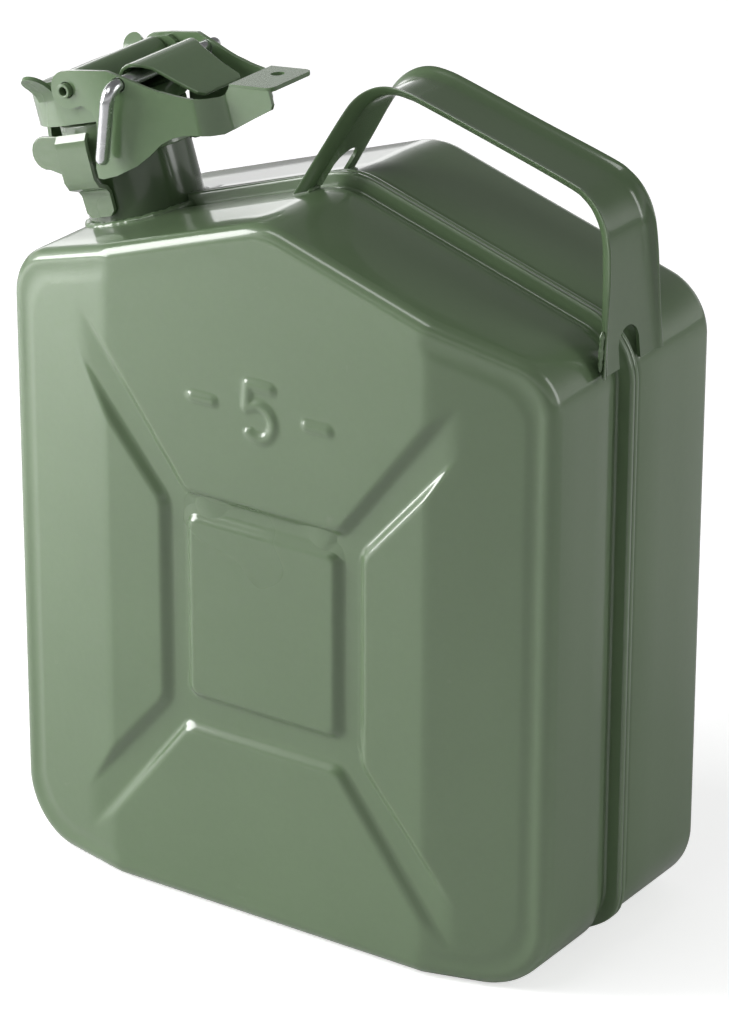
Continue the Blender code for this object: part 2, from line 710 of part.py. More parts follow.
def make_neck(material):
    root = neck_root_v()
    inner = NECK_RADIUS - NECK_WALL
    bead_low = root + BEAD_LIFT
    profile = [
        (inner, root - NECK_INSERT),
        (NECK_RADIUS, root - NECK_INSERT),
        (NECK_RADIUS, bead_low),
        (BEAD_RADIUS, bead_low),
        (BEAD_RADIUS - 0.4, bead_low + BEAD_HEIGHT * 0.5),
        (NECK_RADIUS, bead_low + BEAD_HEIGHT),
        (NECK_RADIUS, NECK_TOP_V),
        (inner, NECK_TOP_V),
    ]
    points, faces = revolved(profile, 48)
    neck = add("spout_neck", from_closure(points), consistent(faces), material)
    high = NECK_TOP_V - COLLAR_LENGTH - FIT
    angle = math.radians(SLOT_HALF_DEG)
    reach = NECK_RADIUS + 3
    floor = NECK_RADIUS - SLOT_DEPTH
    outline = arc(NECK_U, 0, floor, -SLOT_HALF_DEG, SLOT_HALF_DEG, 9)
    outline += arc(NECK_U, 0, reach, SLOT_HALF_DEG, -SLOT_HALF_DEG, 5)
    rings = [np.array([(p[0], p[1], v) for p in outline]) for v in (high - SLOT_TALL, high)]
    points, faces = stitched(rings, cap_ends=True)
    boolean(neck, add("cut_neck_slot", from_closure(points), consistent(faces), helper=True), "DIFFERENCE")
    for shell in (bpy.data.objects["front_shell"], bpy.data.objects["rear_shell"]):
        hole = bpy.data.objects.get("cut_neck_hole")
        if hole is None:
            points, faces = cylinder_v(NECK_U, NECK_RADIUS + NECK_CLEARANCE, root - 25, root + 25, 48)
            hole = add("cut_neck_hole", from_closure(points), consistent(faces), helper=True)
            points, faces = cylinder_v(NECK_U, BEAD_RADIUS + NECK_CLEARANCE, root + 0.15, root + 25, 48)
            add("cut_neck_boss", from_closure(points), consistent(faces), helper=True)
        boolean(shell, hole, "DIFFERENCE")
        boolean(shell, bpy.data.objects["cut_neck_boss"], "DIFFERENCE")
    return neck


def make_collar(material):
    """Mouth ring round the top of the neck, with a lip on the pouring side under the spout slot's edge."""
    low = NECK_TOP_V - COLLAR_LENGTH
    inner = NECK_RADIUS + FIT
    count = 48
    rings = []
    for v, grow, radius in (
        (low, 1, None),
        (low + COLLAR_LIP_TALL, 1, None),
        (low + COLLAR_LIP_TALL + 1.2, 0, None),
        (NECK_TOP_V - 0.6, 0, None),
        (NECK_TOP_V, 0, COLLAR_RADIUS - 0.6),
        (NECK_TOP_V, 0, inner),
        (low, 0, inner),
    ):
        ring = []
        for i in range(count):
            a = 2 * math.pi * i / count
            window = max(0.0, min(1.0, (math.cos(a) - 0.35) / 0.25))
            r = radius if radius is not None else COLLAR_RADIUS + grow * COLLAR_LIP * window
            ring.append((NECK_U + r * math.cos(a), r * math.sin(a), v))
        rings.append(np.array(ring))
    points, faces = stitched(rings, wrap=True)
    return add("neck_collar", from_closure(points), consistent(faces), material)


def make_hinge(material):
    """Two ears on the collar's front, and the pin that is held in a blind seat in each."""
    back_top, back_low = HINGE_V + 5.0, HINGE_V - EAR_LOW
    outline = arc(HINGE_U, HINGE_V, EAR_RADIUS, 90, 270, 11)
    outline += [(EAR_ROOT_U, back_low), (EAR_ROOT_U, back_top)]
    for name, sign in (("hinge_ear_near", -1), ("hinge_ear_far", 1)):
        points, faces = plate(outline, sign * EAR_INNER_Y, sign * (EAR_INNER_Y + EAR_SHEET))
        ear = add(name, from_closure(points), consistent(faces), material)
        ends = sorted((sign * (EAR_INNER_Y - 1.0), sign * (EAR_INNER_Y + PIN_SEAT)))
        points, faces = cylinder_y(HINGE_U, HINGE_V, HINGE_HOLE, ends[0], ends[1], 16)
        seat = add("cut_seat_" + name, from_closure(points), consistent(faces), helper=True)
        boolean(ear, seat, "DIFFERENCE")
        boolean(ear, bpy.data.objects["cut_collar_room"], "DIFFERENCE")
    points, faces = cylinder_y(HINGE_U, HINGE_V, HINGE_PIN_RADIUS, -HINGE_PIN_HALF, HINGE_PIN_HALF, 16)
    add("hinge_pin", from_closure(points), consistent(faces), material)


def make_catches(material):
    """Side catches: a loop that stands off the neck, joggled down to a welded foot."""
    outer = CATCH_OUTER_Y
    foot_v = neck_root_v() + BEAD_LIFT + BEAD_HEIGHT + CATCH_FOOT_GAP
    curve = [
        (COLLAR_RADIUS + 1.1, CATCH_TOP_V - 2.4),
        (COLLAR_RADIUS + 1.9, CATCH_TOP_V - 0.6),
        (outer - 1.6, CATCH_TOP_V),
        (outer - 0.3, CATCH_TOP_V - 1.6),
        (outer, CATCH_TOP_V - 4.5),
        (outer, CATCH_KNEE_V + 1.5),
        (outer - 1.4, CATCH_KNEE_V - 1.2),
        (CATCH_FOOT_Y + 1.2, CATCH_KNEE_V - 2.6),
        (CATCH_FOOT_Y, CATCH_KNEE_V - 4.6),
        (CATCH_FOOT_Y, foot_v),
    ]
    end = lengths(curve)[-1]
    knee = lengths(curve)[6]
    front, back = CATCH_FRONT_U, CATCH_BACK_U
    outline = [
        (0.0, front + 2.0),
        (0.0, back - 2.0),
        (2.5, back),
        (knee, back),
        (knee + 3.0, back + 0.6),
        (end - 2.0, back + 0.6),
        (end, back - 1.4),
        (end, front + 3.8),
        (end - 2.0, front + 1.8),
        (knee + 3.0, front + 1.4),
        (knee, front),
        (2.5, front),
    ]
    for name, sign in (("catch_near", -1), ("catch_far", 1)):
        points, faces = bent_sheet(curve, outline, CATCH_SHEET)
        points = np.column_stack([points[:, 2], sign * points[:, 0], points[:, 1]])
        add(name, from_closure(points), consistent(faces), material)


def make_lid(hinge_point, material, rubber):
    inner = LID_RADIUS - LID_SHEET
    profile = [
        (0.0, LID_TOP_V),
        (LID_RADIUS - 2.0, LID_TOP_V),
        (LID_RADIUS - 0.5, LID_TOP_V - 0.5),
        (LID_RADIUS, LID_TOP_V - 2.0),
        (LID_RADIUS, LID_SKIRT_V),
        (inner, LID_SKIRT_V),
        (inner, LID_TOP_V - LID_SHEET),
        (0.0, LID_TOP_V - LID_SHEET),
    ]
    count = 48
    rings = [np.array([(p[0], p[1], v) for p in circle(NECK_U, 0, r, count)]) for r, v in profile[1:-1]]
    points, faces = stitched(rings, cap_ends=True)
    add("lid", from_closure(points), consistent(faces), material, hinge_point)
    top = LID_TOP_V - LID_SHEET - GASKET_GAP
    outer = inner - GASKET_GAP
    low = NECK_TOP_V + GASKET_GAP
    profile = [(GASKET_INNER, low), (outer, low), (outer, top), (GASKET_INNER, top)]
    points, faces = revolved(profile, 40)
    add("lid_gasket", from_closure(points), consistent(faces), rubber, hinge_point)


def make_yoke(hinge_point, material):
    """Cover that carries the lid: half-round band, top plate, two bent tongues and the hinge arm."""
    mid = YOKE_HALF - YOKE_SHEET / 2
    centre = YOKE_FRONT_U + YOKE_HALF
    front = arc(centre, 0, mid, 270, 90, 25)
    curve = [(YOKE_BACK_U, -mid)] + front + [(YOKE_BACK_U, mid)]
    total = lengths(curve)[-1]
    lower = [(0.0, YOKE_LOW_V + 1.2), (1.2, YOKE_LOW_V)]
    upper = [
        (0.0, YOKE_EAR_TOP_V - 2.5),
        (2.5, YOKE_EAR_TOP_V),
        (YOKE_BACK_U + 2.5, YOKE_EAR_TOP_V),
        (YOKE_BACK_U + 6.5, YOKE_TOP_V),
    ]
    outline = lower + [(total - s, v) for s, v in reversed(lower)]
    outline += [(total - s, v) for s, v in upper] + list(reversed(upper))
    holes = [circle(s, 0.0, PIVOT_HOLE, 16) for s in (YOKE_BACK_U, total - YOKE_BACK_U)]
    points, faces = bent_sheet(curve, outline, YOKE_SHEET, holes)
    points = np.column_stack([points[:, 0], points[:, 1], points[:, 2]])
    yoke = add("lid_yoke", from_closure(points), consistent(faces), material, hinge_point)
    # Top plate, crowned a little, from the band's front to just before the strap's curl.
    back = -STRAP_CURL_RADIUS - STRAP_SHEET / 2 - 0.6
    profile = [(YOKE_FRONT_U + 0.5, YOKE_TOP_V - 1.3), (-23.0, 0.9), (-15.0, 2.0), (back, 2.4)]
    at = lengths(profile)
    total = at[-1]
    outline = []
    for s in np.linspace(0.6, total, 12):
        u = np.interp(s, at, [p[0] for p in profile])
        outline.append((s, math.sqrt(max((YOKE_HALF - 0.5) ** 2 - min(u - centre, 0) ** 2, 4.0))))
    outline = outline + [(s, -w) for s, w in reversed(outline)]
    points, faces = bent_sheet(profile, outline, YOKE_SHEET)
    points = np.column_stack([points[:, 0], points[:, 2], points[:, 1]])
    boolean(yoke, add("add_yoke_top", from_closure(points), consistent(faces), helper=True), "UNION")
    # Tongues flare up and outwards from the band's top edge.
    for name, sign in (("add_tongue_near", -1), ("add_tongue_far", 1)):
        curve = [(mid - 0.1, -3.2), (mid + 0.5, -0.6), (mid + 2.4, 2.2), (mid + 4.6, 4.6), (mid + 6.4, 6.6)]
        end = lengths(curve)[-1]
        half = TONGUE_WIDTH / 2
        tip = arc(end - half, 0.0, half, 90, -90, 9)
        lean = [(s, w - TONGUE_U - TONGUE_LEAN * s) for s, w in [(0.0, -half), *reversed(tip), (0.0, half)]]
        points, faces = bent_sheet(curve, lean, YOKE_SHEET)
        points = np.column_stack([points[:, 2], sign * points[:, 0], points[:, 1]])
        boolean(yoke, add(name, from_closure(points), consistent(faces), helper=True), "UNION")
    # Arm from the band's front down to a curl round the hinge pin.
    curl = HINGE_HOLE + YOKE_SHEET / 2
    start = YOKE_FRONT_U + YOKE_SHEET / 2
    curve = [(start, YOKE_LOW_V + 5.0), (start, YOKE_LOW_V - 1.0), (start - 0.8, HINGE_V + 4.5)]
    curve += arc(HINGE_U, HINGE_V, curl, 165, 455, 15)
    total = lengths(curve)[-1]
    half = YOKE_ARM_HALF
    outline = [(0.0, -half), (total, -half), (total, half), (0.0, half)]
    points, faces = bent_sheet(curve, outline, YOKE_SHEET)
    points = np.column_stack([points[:, 0], points[:, 2], points[:, 1]])
    boolean(yoke, add("add_yoke_arm", from_closure(points), consistent(faces), helper=True), "UNION")


def make_pivot_pin(hinge_point, material):
    rings = []
    for radius, y in (
        (PIVOT_PIN_RADIUS, -PIVOT_PIN_HALF),
        (PIVOT_PIN_RADIUS, PIVOT_PIN_HALF),
        (PIVOT_PIN_BORE, PIVOT_PIN_HALF),
        (PIVOT_PIN_BORE, -PIVOT_PIN_HALF),
    ):
        rings.append(np.array([(p[0], y, p[1]) for p in circle(0, 0, radius, 20)]))
    points, faces = stitched(rings, wrap=True)
    add("lever_pivot_pin", from_closure(points), consistent(faces), material, hinge_point)


def make_strap(pivot_point, material):
    curl = arc(0, 0, STRAP_CURL_RADIUS, 250, 10, 19)
    curve = curl + [
        (5.5, -2.2),
        (6.8, -4.2),
        (9.0, -5.2),
        (11.6, -4.7),
        (14.2, -2.2),
        (16.4, 0.8),
        (18.2, 2.6),
        (20.4, 3.5),
        (22.8, 3.5),
        (25.4, 2.6),
        (28.2, 0.9),
        (31.5, -1.6),
        (36.5, -5.6),
        (44.5, -11.0),
    ]
    at = lengths(curve)
    total = at[-1]
    widths = [(0.0, STRAP_CURL_HALF), (at[19], STRAP_CURL_HALF), (at[21], STRAP_CURL_HALF - 2.5)]
    widths += [(at[23], STRAP_NECK_HALF), (at[27], STRAP_NECK_HALF), (at[29], STRAP_NECK_HALF - 3.2)]
    widths += [(at[31], STRAP_TAIL_HALF + 0.7)]
    widths += [(total - 2.0, STRAP_TAIL_HALF), (total, STRAP_TAIL_HALF - 2.0)]
    outline = widths + [(s, -w) for s, w in reversed(widths)]
    points, faces = bent_sheet(curve, outline, STRAP_SHEET)
    points = np.column_stack([points[:, 0], points[:, 2], points[:, 1]])
    add("bridge_strap", from_closure(points), consistent(faces), material, pivot_point)


def make_lever(pivot_point, material):
    """Cheeks with their cam lobes, drawn in at the tail and joined there by the finger tab."""
    mid = CHEEK_INNER_Y + LEVER_SHEET / 2
    tail = TAIL_INNER_Y + LEVER_SHEET / 2
    waist = mid - WAIST_IN
    curve = [(-8.0, mid), (TAPER_U, mid)]
    for share in np.linspace(0.0, 1.0, 9):
        u = BEND_START_U + (BEND_END_U - BEND_START_U) * share
        curve.append((u, waist - (waist - tail) * share * share * (3 - 2 * share)))
    curve.append((TAIL_END_U, tail))
    at = lengths(curve)

    def along(u):
        return float(np.interp(u, [p[0] for p in curve], at))

    def back(share):
        return CHEEK_KNEE_U + share * (TAB_ROOT_U - CHEEK_KNEE_U)

    top = arc(0, 0, 6.6, 180, 98, 7)
    top += [(3.0, 6.5), (7.0, 6.0), (18.8, 4.4), (CHEEK_KNEE_U, 1.0)]
    top += [(back(0.15), -1.9), (back(0.24), -3.6), (back(0.34), -5.3), (back(0.44), -6.6)]
    top += [(back(0.53), -7.9), (back(0.63), -9.1), (back(0.73), -10.2), (back(0.83), -11.4)]
    edge = TAB_TOP_V - 0.1
    top += [(back(0.92), -12.0), (back(0.975), -11.5), (TAB_ROOT_U + 1.6, edge)]
    near_tail = [(TAIL_END_U, -17.4), (TAIL_END_U - 1.0, -18.9), (TAIL_END_U - 9.6, -21.2)]
    near_tail += [(back(0.99), -23.6), (back(0.88), -24.4), (back(0.79), -23.7), (back(0.7), -22.7)]
    far_tail = [(FAR_END_U, -12.6), (TAB_ROOT_U + 1.6, -15.6), (back(0.83), -19.8), (back(0.68), -21.4)]
    low = [(back(0.55), -21.8), (back(0.39), -21.9), (back(0.24), -23.3), (back(0.08), -26.4)]
    low += [(21.3, -29.1), (12.3, -31.4), (6.0, -32.0), (3.9, -31.4)]
    low += [(4.0, -28.0), (5.2, -24.2), (8.0, -17.8), (9.2, -12.5), (8.4, -8.6), (4.5, -5.9), (0.0, -6.6)]
    low += arc(0, 0, 6.6, 250, 195, 5)
    holes = [circle(along(0.0), 0.0, PIVOT_HOLE, 20), circle(along(LOCK_U), LOCK_V, LOCK_HOLE, 16)]
    sides = []
    for name, sign, tail_line in (("lever", -1, near_tail), ("add_lever_far", 1, far_tail)):
        end = tail_line[0][0]
        corner = (end, edge - (end - TAB_ROOT_U - 1.6) * TAB_SLOPE)
        outline = [(along(u), v) for u, v in top + [corner] + tail_line + low]
        points, faces = bent_sheet(curve, outline, LEVER_SHEET, holes)
        points = np.column_stack([points[:, 0], sign * points[:, 1], points[:, 2]])
        sides.append((name, points, consistent(faces)))
    lever = add(sides[0][0], from_closure(sides[0][1]), sides[0][2], material, pivot_point)
    far = add(sides[1][0], from_closure(sides[1][1]), sides[1][2], helper=True)
    start, end = TAB_ROOT_U + 1.6, TAB_END_U
    curve = [(start, TAB_TOP_V), (end, TAB_TOP_V - (end - start) * TAB_SLOPE)]
    total = lengths(curve)[-1]
    half = tail + 0.45
    near = [(0.0, -half), (total - 2.4, -half), (total - 0.7, -half + 0.8), (total, -half + 2.4)]
    outline = near + [(s, -w) for s, w in reversed(near)]
    hole = circle(total * (TAB_HOLE_U - start) / (end - start), TAB_HOLE_Y, TAB_HOLE_RADIUS, 16)
    points, faces = bent_sheet(curve, outline, TAB_SHEET, [hole])
    points = np.column_stack([points[:, 0], points[:, 2], points[:, 1]])
    tab = add("add_lever_tab", from_closure(points), consistent(faces), helper=True)
    boolean(lever, tab, "UNION")
    boolean(lever, far, "UNION")


def make_locking_pin(pivot_point, material):
    lean = math.radians(LOCK_LEG_LEAN_DEG)
    down = np.array([-math.sin(lean), 0.0, -math.cos(lean)])
    corner = np.array([LOCK_U, LOCK_BEND_Y, LOCK_V])
    across = np.array([0.0, -1.0, 0.0])
    radius = LOCK_BEND_RADIUS
    centre = corner - across * radius + down * radius
    path = [np.array([LOCK_U, LOCK_FAR_Y, LOCK_V])]
    for degrees in np.linspace(0, 90, 7):
        a = math.radians(degrees)
        path.append(centre + across * radius * math.sin(a) - down * radius * math.cos(a))
    path.append(corner + down * (LOCK_LEG + 3))
    third = np.cross(across, down)
    rings = []
    for i, point in enumerate(path):
        a = math.radians(90.0 * min(max(i - 1, 0), 6) / 6)
        tangent = across * math.cos(a) + down * math.sin(a)
        normal = np.cross(tangent, third)
        ends = i in (0, len(path) - 1)
        sizes = [(LOCK_RADIUS, 0.0)]
        if ends:
            sizes = [(LOCK_RADIUS, 0.9), (LOCK_RADIUS - 0.9, 0.0)]
            if i == 0:
                sizes.reverse()
        for size, back in sizes:
            shift = tangent * (back if i == 0 else -back)
            ring = [point + shift + size * (normal * c + third * s) for c, s in circle(0, 0, 1.0, 14)]
            rings.append(np.array(ring))
    points, faces = stitched(rings, cap_ends=True)
    add("locking_pin", from_closure(points), consistent(faces), material, pivot_point)


def build():
    for obj in list(bpy.data.objects):
        bpy.data.objects.remove(obj, do_unlink=True)
    paint = {}
    for name in ("shell", "handle", "neck", "closure", "lever"):
        paint[name] = paint_material("green_paint_" + name, PAINT, 0.0, 0.35)
    zinc = paint_material("zinc_plate", ZINC, 1.0, 0.28)
    rubber = paint_material("black_rubber", RUBBER, 0.0, 0.7)
    make_shell("front_shell", -1, True, paint["shell"])
    make_shell("rear_shell", 1, False, paint["shell"])
    make_handle(paint["handle"])
    make_neck(paint["neck"])
    make_collar(paint["neck"])
    points, faces = cylinder_v(NECK_U, COLLAR_RADIUS + FIT, neck_root_v(), 0, 48)
    add("cut_collar_room", from_closure(points), consistent(faces), helper=True)
    make_hinge(paint["neck"])
    make_catches(paint["neck"])
    hinge_point = from_closure([(HINGE_U, 0.0, HINGE_V)])[0]
    pivot_point = from_closure([(0.0, 0.0, 0.0)])[0]
    make_lid(hinge_point, paint["closure"], rubber)
    make_yoke(hinge_point, paint["closure"])
    make_pivot_pin(hinge_point, paint["closure"])
    make_strap(pivot_point, paint["closure"])
    make_lever(pivot_point, paint["lever"])
    make_locking_pin(pivot_point, zinc)


build()
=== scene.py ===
import math

import bpy
import bmesh
import numpy as np
from mathutils import Matrix, Vector


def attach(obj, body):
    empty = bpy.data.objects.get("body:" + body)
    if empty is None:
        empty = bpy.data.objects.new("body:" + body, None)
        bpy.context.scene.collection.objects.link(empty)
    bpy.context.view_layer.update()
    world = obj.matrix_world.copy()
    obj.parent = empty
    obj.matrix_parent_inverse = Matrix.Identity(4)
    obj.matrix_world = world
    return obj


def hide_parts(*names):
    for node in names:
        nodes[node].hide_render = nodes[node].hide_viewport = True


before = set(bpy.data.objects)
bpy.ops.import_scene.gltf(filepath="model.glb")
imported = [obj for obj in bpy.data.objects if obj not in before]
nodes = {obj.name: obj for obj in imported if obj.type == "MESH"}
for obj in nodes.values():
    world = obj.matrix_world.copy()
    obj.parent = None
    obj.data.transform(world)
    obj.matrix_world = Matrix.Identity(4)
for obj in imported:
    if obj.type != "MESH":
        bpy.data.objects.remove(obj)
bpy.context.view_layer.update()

# Camera, as the photograph was taken: from the right and above, with a long lens and no shift. Angles
# are in degrees and distances in metres. The image is 729 pixels wide and 1024 tall.
IMAGE_TALL = 1024
FOCAL_PX = 4668.7
SENSOR_TALL, NEAREST_SEEN = 36.0, 0.05
AZIMUTH, ELEVATION, ROLL = 34.32, 23.56, 0.10
TARGET = Vector((0.0067, 0.0, 0.1257))
AIM_RIGHT, AIM_UP, DISTANCE = 0.00552, 0.00899, 1.6059


def linked(name, data):
    """A new object that holds the data, put into the scene."""
    obj = bpy.data.objects.new(name, data)
    bpy.context.scene.collection.objects.link(obj)
    return obj


def camera_axes(azimuth, elevation):
    """Right, up and back vectors of a level camera that stands at these angles."""
    a, e = math.radians(azimuth), math.radians(elevation)
    right = Vector((math.cos(a), math.sin(a), 0.0))
    up = Vector((-math.sin(a) * math.sin(e), math.cos(a) * math.sin(e), math.cos(e)))
    return right, up, right.cross(up)


right, up, back = camera_axes(AZIMUTH, ELEVATION)
camera_data = bpy.data.cameras.new("camera")
camera_data.sensor_fit = "VERTICAL"
camera_data.sensor_height = SENSOR_TALL
camera_data.lens = FOCAL_PX / IMAGE_TALL * SENSOR_TALL
camera_data.clip_start = NEAREST_SEEN
camera = linked("camera", camera_data)
stand = TARGET + right * AIM_RIGHT + up * AIM_UP + back * DISTANCE
turn = Matrix((right, up, back)).transposed() @ Matrix.Rotation(math.radians(ROLL), 3, "Z")
camera.matrix_world = Matrix.Translation(stand) @ turn.to_4x4()
bpy.context.scene.camera = camera


# Green enamel: one baked coat over the steel, glossy, with a faint orange-peel skin, slow changes of
# shade and fine dust. Every painted piece takes it with its own colour, roughness and depth of peel.
MM = 0.001
GREEN = (0.112, 0.170, 0.088, 1.0)
DUST_COLOUR = (0.30, 0.31, 0.26, 1.0)
GLOSS_COAT, THIN_COAT, COAT_ROUGHNESS = 0.8, 0.5, 0.08
# Each noise by its scale, detail and roughness.
CLOUD = (9.0, 3.0, 0.5)
GRAIN = (420.0, 2.0, 0.5)
PEEL = (230.0, 1.0, 0.4)
DUST = (60.0, 6.0, 0.7)
# What a range of a noise, from low to high, becomes: a share of the colour, an addition to the
# roughness, or the dust's cover.
CLOUD_SHADE = (0.3, 0.7, 0.94, 1.06)
GRAIN_SHADE = (0.3, 0.7, 0.985, 1.015)
CLOUD_ROUGHNESS = (0.3, 0.7, -0.03, 0.05)
DUST_COVER = (0.66, 0.74, 0.0, 0.12)


def object_noise(tree, scale, detail, rough):
    """Noise in the object's own coordinates."""
    place = tree.nodes.new("ShaderNodeTexCoord")
    noise = tree.nodes.new("ShaderNodeTexNoise")
    noise.inputs["Scale"].default_value = scale
    noise.inputs["Detail"].default_value = detail
    noise.inputs["Roughness"].default_value = rough
    tree.links.new(place.outputs["Object"], noise.inputs["Vector"])
    return noise.outputs["Fac"]


def ranged(tree, source, low, high, to_low, to_high):
    """The source's range from low to high, laid over the range from to_low to to_high."""
    spread = tree.nodes.new("ShaderNodeMapRange")
    spread.inputs["From Min"].default_value = low
    spread.inputs["From Max"].default_value = high
    spread.inputs["To Min"].default_value = to_low
    spread.inputs["To Max"].default_value = to_high
    tree.links.new(source, spread.inputs["Value"])
    return spread.outputs["Result"]


def combined(tree, operation, *values):
    """One value worked out by the operation from sockets and plain numbers."""
    worked = tree.nodes.new("ShaderNodeMath")
    worked.operation = operation
    for entry, value in zip(worked.inputs, values):
        if isinstance(value, float):
            entry.default_value = value
        else:
            tree.links.new(value, entry)
    return worked.outputs[0]


def bumped(tree, height, depth_mm):
    """Normals of a skin that the height lifts by up to this depth."""
    bump = tree.nodes.new("ShaderNodeBump")
    bump.inputs["Distance"].default_value = depth_mm * MM
    tree.links.new(height, bump.inputs["Height"])
    return bump.outputs["Normal"]


def plain_material(name):
    """A new material, its node tree and its shader."""
    material = bpy.data.materials.new(name)
    material.use_nodes = True
    return material, material.node_tree, material.node_tree.nodes["Principled BSDF"]


def enamel_group():
    """The paint's skin. Its colour is the given one times cloud and grain, with dust over it. Its roughness
    is the given one plus cloud, and its height is the peel plus cloud times the given patch."""
    group = bpy.data.node_groups.new("enamel_skin", "ShaderNodeTree")
    for side, name, kind in (
        ("INPUT", "Colour", "NodeSocketColor"),
        ("INPUT", "Roughness", "NodeSocketFloat"),
        ("INPUT", "Patch", "NodeSocketFloat"),
        ("OUTPUT", "Colour", "NodeSocketColor"),
        ("OUTPUT", "Roughness", "NodeSocketFloat"),
        ("OUTPUT", "Height", "NodeSocketFloat"),
    ):
        group.interface.new_socket(name=name, in_out=side, socket_type=kind)
    link = group.links.new
    given = group.nodes.new("NodeGroupInput")
    out = group.nodes.new("NodeGroupOutput")
    cloud, grain, peel, dust = (object_noise(group, *noise) for noise in (CLOUD, GRAIN, PEEL, DUST))
    cloud_shade = ranged(group, cloud, *CLOUD_SHADE)
    grain_shade = ranged(group, grain, *GRAIN_SHADE)
    shaded = group.nodes.new("ShaderNodeVectorMath")
    shaded.operation = "SCALE"
    link(given.outputs["Colour"], shaded.inputs[0])
    link(combined(group, "MULTIPLY", cloud_shade, grain_shade), shaded.inputs["Scale"])
    dusted = group.nodes.new("ShaderNodeMix")
    dusted.data_type = "RGBA"
    link(ranged(group, dust, *DUST_COVER), dusted.inputs["Factor"])
    link(shaded.outputs[0], dusted.inputs["A"])
    dusted.inputs["B"].default_value = DUST_COLOUR
    cloud_roughness = ranged(group, cloud, *CLOUD_ROUGHNESS)
    link(dusted.outputs["Result"], out.inputs["Colour"])
    link(combined(group, "ADD", given.outputs["Roughness"], cloud_roughness), out.inputs["Roughness"])
    link(combined(group, "MULTIPLY_ADD", cloud, given.outputs["Patch"], peel), out.inputs["Height"])
    return group


enamel_skin = enamel_group()


def enamel_paint(name, colour, rough, peel_mm, patch, coat=GLOSS_COAT):
    """A painted finish: the skin's colour and roughness, its height as a bump, and clear gloss over it."""
    paint, tree, shader = plain_material(name)
    skin = tree.nodes.new("ShaderNodeGroup")
    skin.node_tree = enamel_skin
    skin.inputs["Colour"].default_value = colour
    skin.inputs["Roughness"].default_value = rough
    skin.inputs["Patch"].default_value = patch
    tree.links.new(skin.outputs["Colour"], shader.inputs["Base Color"])
    tree.links.new(skin.outputs["Roughness"], shader.inputs["Roughness"])
    tree.links.new(bumped(tree, skin.outputs["Height"], peel_mm), shader.inputs["Normal"])
    shader.inputs["Coat Weight"].default_value = coat
    shader.inputs["Coat Roughness"].default_value = COAT_ROUGHNESS
    return paint


# The two pressed halves: sheet steel drawn to a tray each, with a flange that is welded to the other's.
# Both have a raised pad in a ring channel and four channels that run out from the ring's corners, and
# the front has two creases with facets behind them. Millimetres, with x 0 at the body's middle.
FRAME_X = 6.7
HALF_WIDTH, HALF_DEPTH = 110.0, 54.3
RIDGE_X, RIDGE_Z = 2.8, 257.6
ROOF_LEFT, ROOF_RIGHT = math.tan(math.radians(18.2)), math.tan(math.radians(17.4))
# The outline's corners from the bottom left round: bottom right, right shoulder, ridge, left shoulder.
CORNER_RADII = (24.0, 24.0, 21.0, 25.0, 21.0)
CORNER_POINTS, TURN_WEIGHT = 200, 3.0
EDGE_RADIUS, SHEET = 4.75, 0.9
# The creases' x, how far the facets fall back at the sides, and what rounds their meeting lines.
CREASE_LEFT, CREASE_RIGHT = -61.6, 66.2
FALL_LEFT, FALL_RIGHT = 11.4, 12.1
CREASE_ROUND, FACET_ROUND = 0.18, 0.9
# The seam: its flanges stand up from a valley between the halves, and draw in under the bottom.
FLANGE_RISE, FLANGE_THICK, SEAM_HALF_GAP = 3.2, 2.05, 0.15
BOTTOM_DRAWN_IN, BOTTOM_FROM, BOTTOM_OVER = 0.9, 0.3, 0.6
VALLEY_HALF, VALLEY_DEPTH, VALLEY_SHOULDER = 7.7, 2.6, 1.6
# How far out, and how far back from a start, each ring of a bend lies. Along the flange's top the first
# is a share of its rise.
WALL_SHARES = (0.33, 0.66)
VALLEY_BEND = (
    (-0.05, 1.3), (-0.25, 0.6), (-0.55, 0.1), (-0.9, -0.4),
    (-1.4, -1.0), (-2.0, -1.6), (-2.45, -2.1), (-2.6, -2.8),
)
FLANGE_ROOT = ((0.0, 0.9), (0.25, 0.2))
FLANGE_BEND = ((0.15, 0.0), (0.8, 0.0), (0.93, -0.12), (0.99, -0.4), (1.0, -0.8))
FLANGE_EDGE = ((0.0, 0.3), (-0.25, 0.0))
INNER_VALLEY_IN = 2.0
OUTER_DEGREES, INNER_DEGREES = (75, 60, 45, 30, 15, 0), (0, 45, 90)
# The pattern: half width, low, high and corner radius of the ring and the pad, and each channel's two
# ends with its half width there.
PRESS_DEPTH, PRESS_SLOPE, PAD_SLOPE = 2.8, 4.8, 4.4
PATTERN_X, MIDDLE_Z = 1.5, 118.0
RING = (43.0, 65.0, 157.3, 5.0)
PAD = (32.8, 77.5, 148.9, 6.0)
CHANNELS = (
    ((-30.0, 146.5), (-72.0, 199.0), 7.5, 9.5),
    ((33.0, 146.5), (74.0, 196.0), 7.5, 9.5),
    ((-30.0, 77.0), (-72.0, 26.0), 8.0, 9.5),
    ((33.0, 75.0), (76.0, 22.0), 7.5, 9.5),
)
CHANNEL_LEAD, CHANNEL_JOIN = 8.0, 0.5
# The numeral, a plain 5 between two bars: its strokes as shares of its size, and the bowl as an arc.
NUMERAL_X, NUMERAL_Z, NUMERAL_SIZE = 1.5, 190.5, 19.0
STROKES = (
    ((-0.23, 0.5), (0.24, 0.5)),
    ((-0.23, 0.5), (-0.27, 0.06)),
    ((-1.45, 0.0), (-1.0, 0.0)),
    ((1.0, 0.0), (1.45, 0.0)),
)
BOWL_X, BOWL_Z, BOWL_RADIUS = -0.02, -0.17, 0.31
BOWL_START, BOWL_END = -2.5, 2.35
NUMERAL_RISE, STROKE_FLAT, STROKE_SLOPE = 0.85, 0.6, 2.0
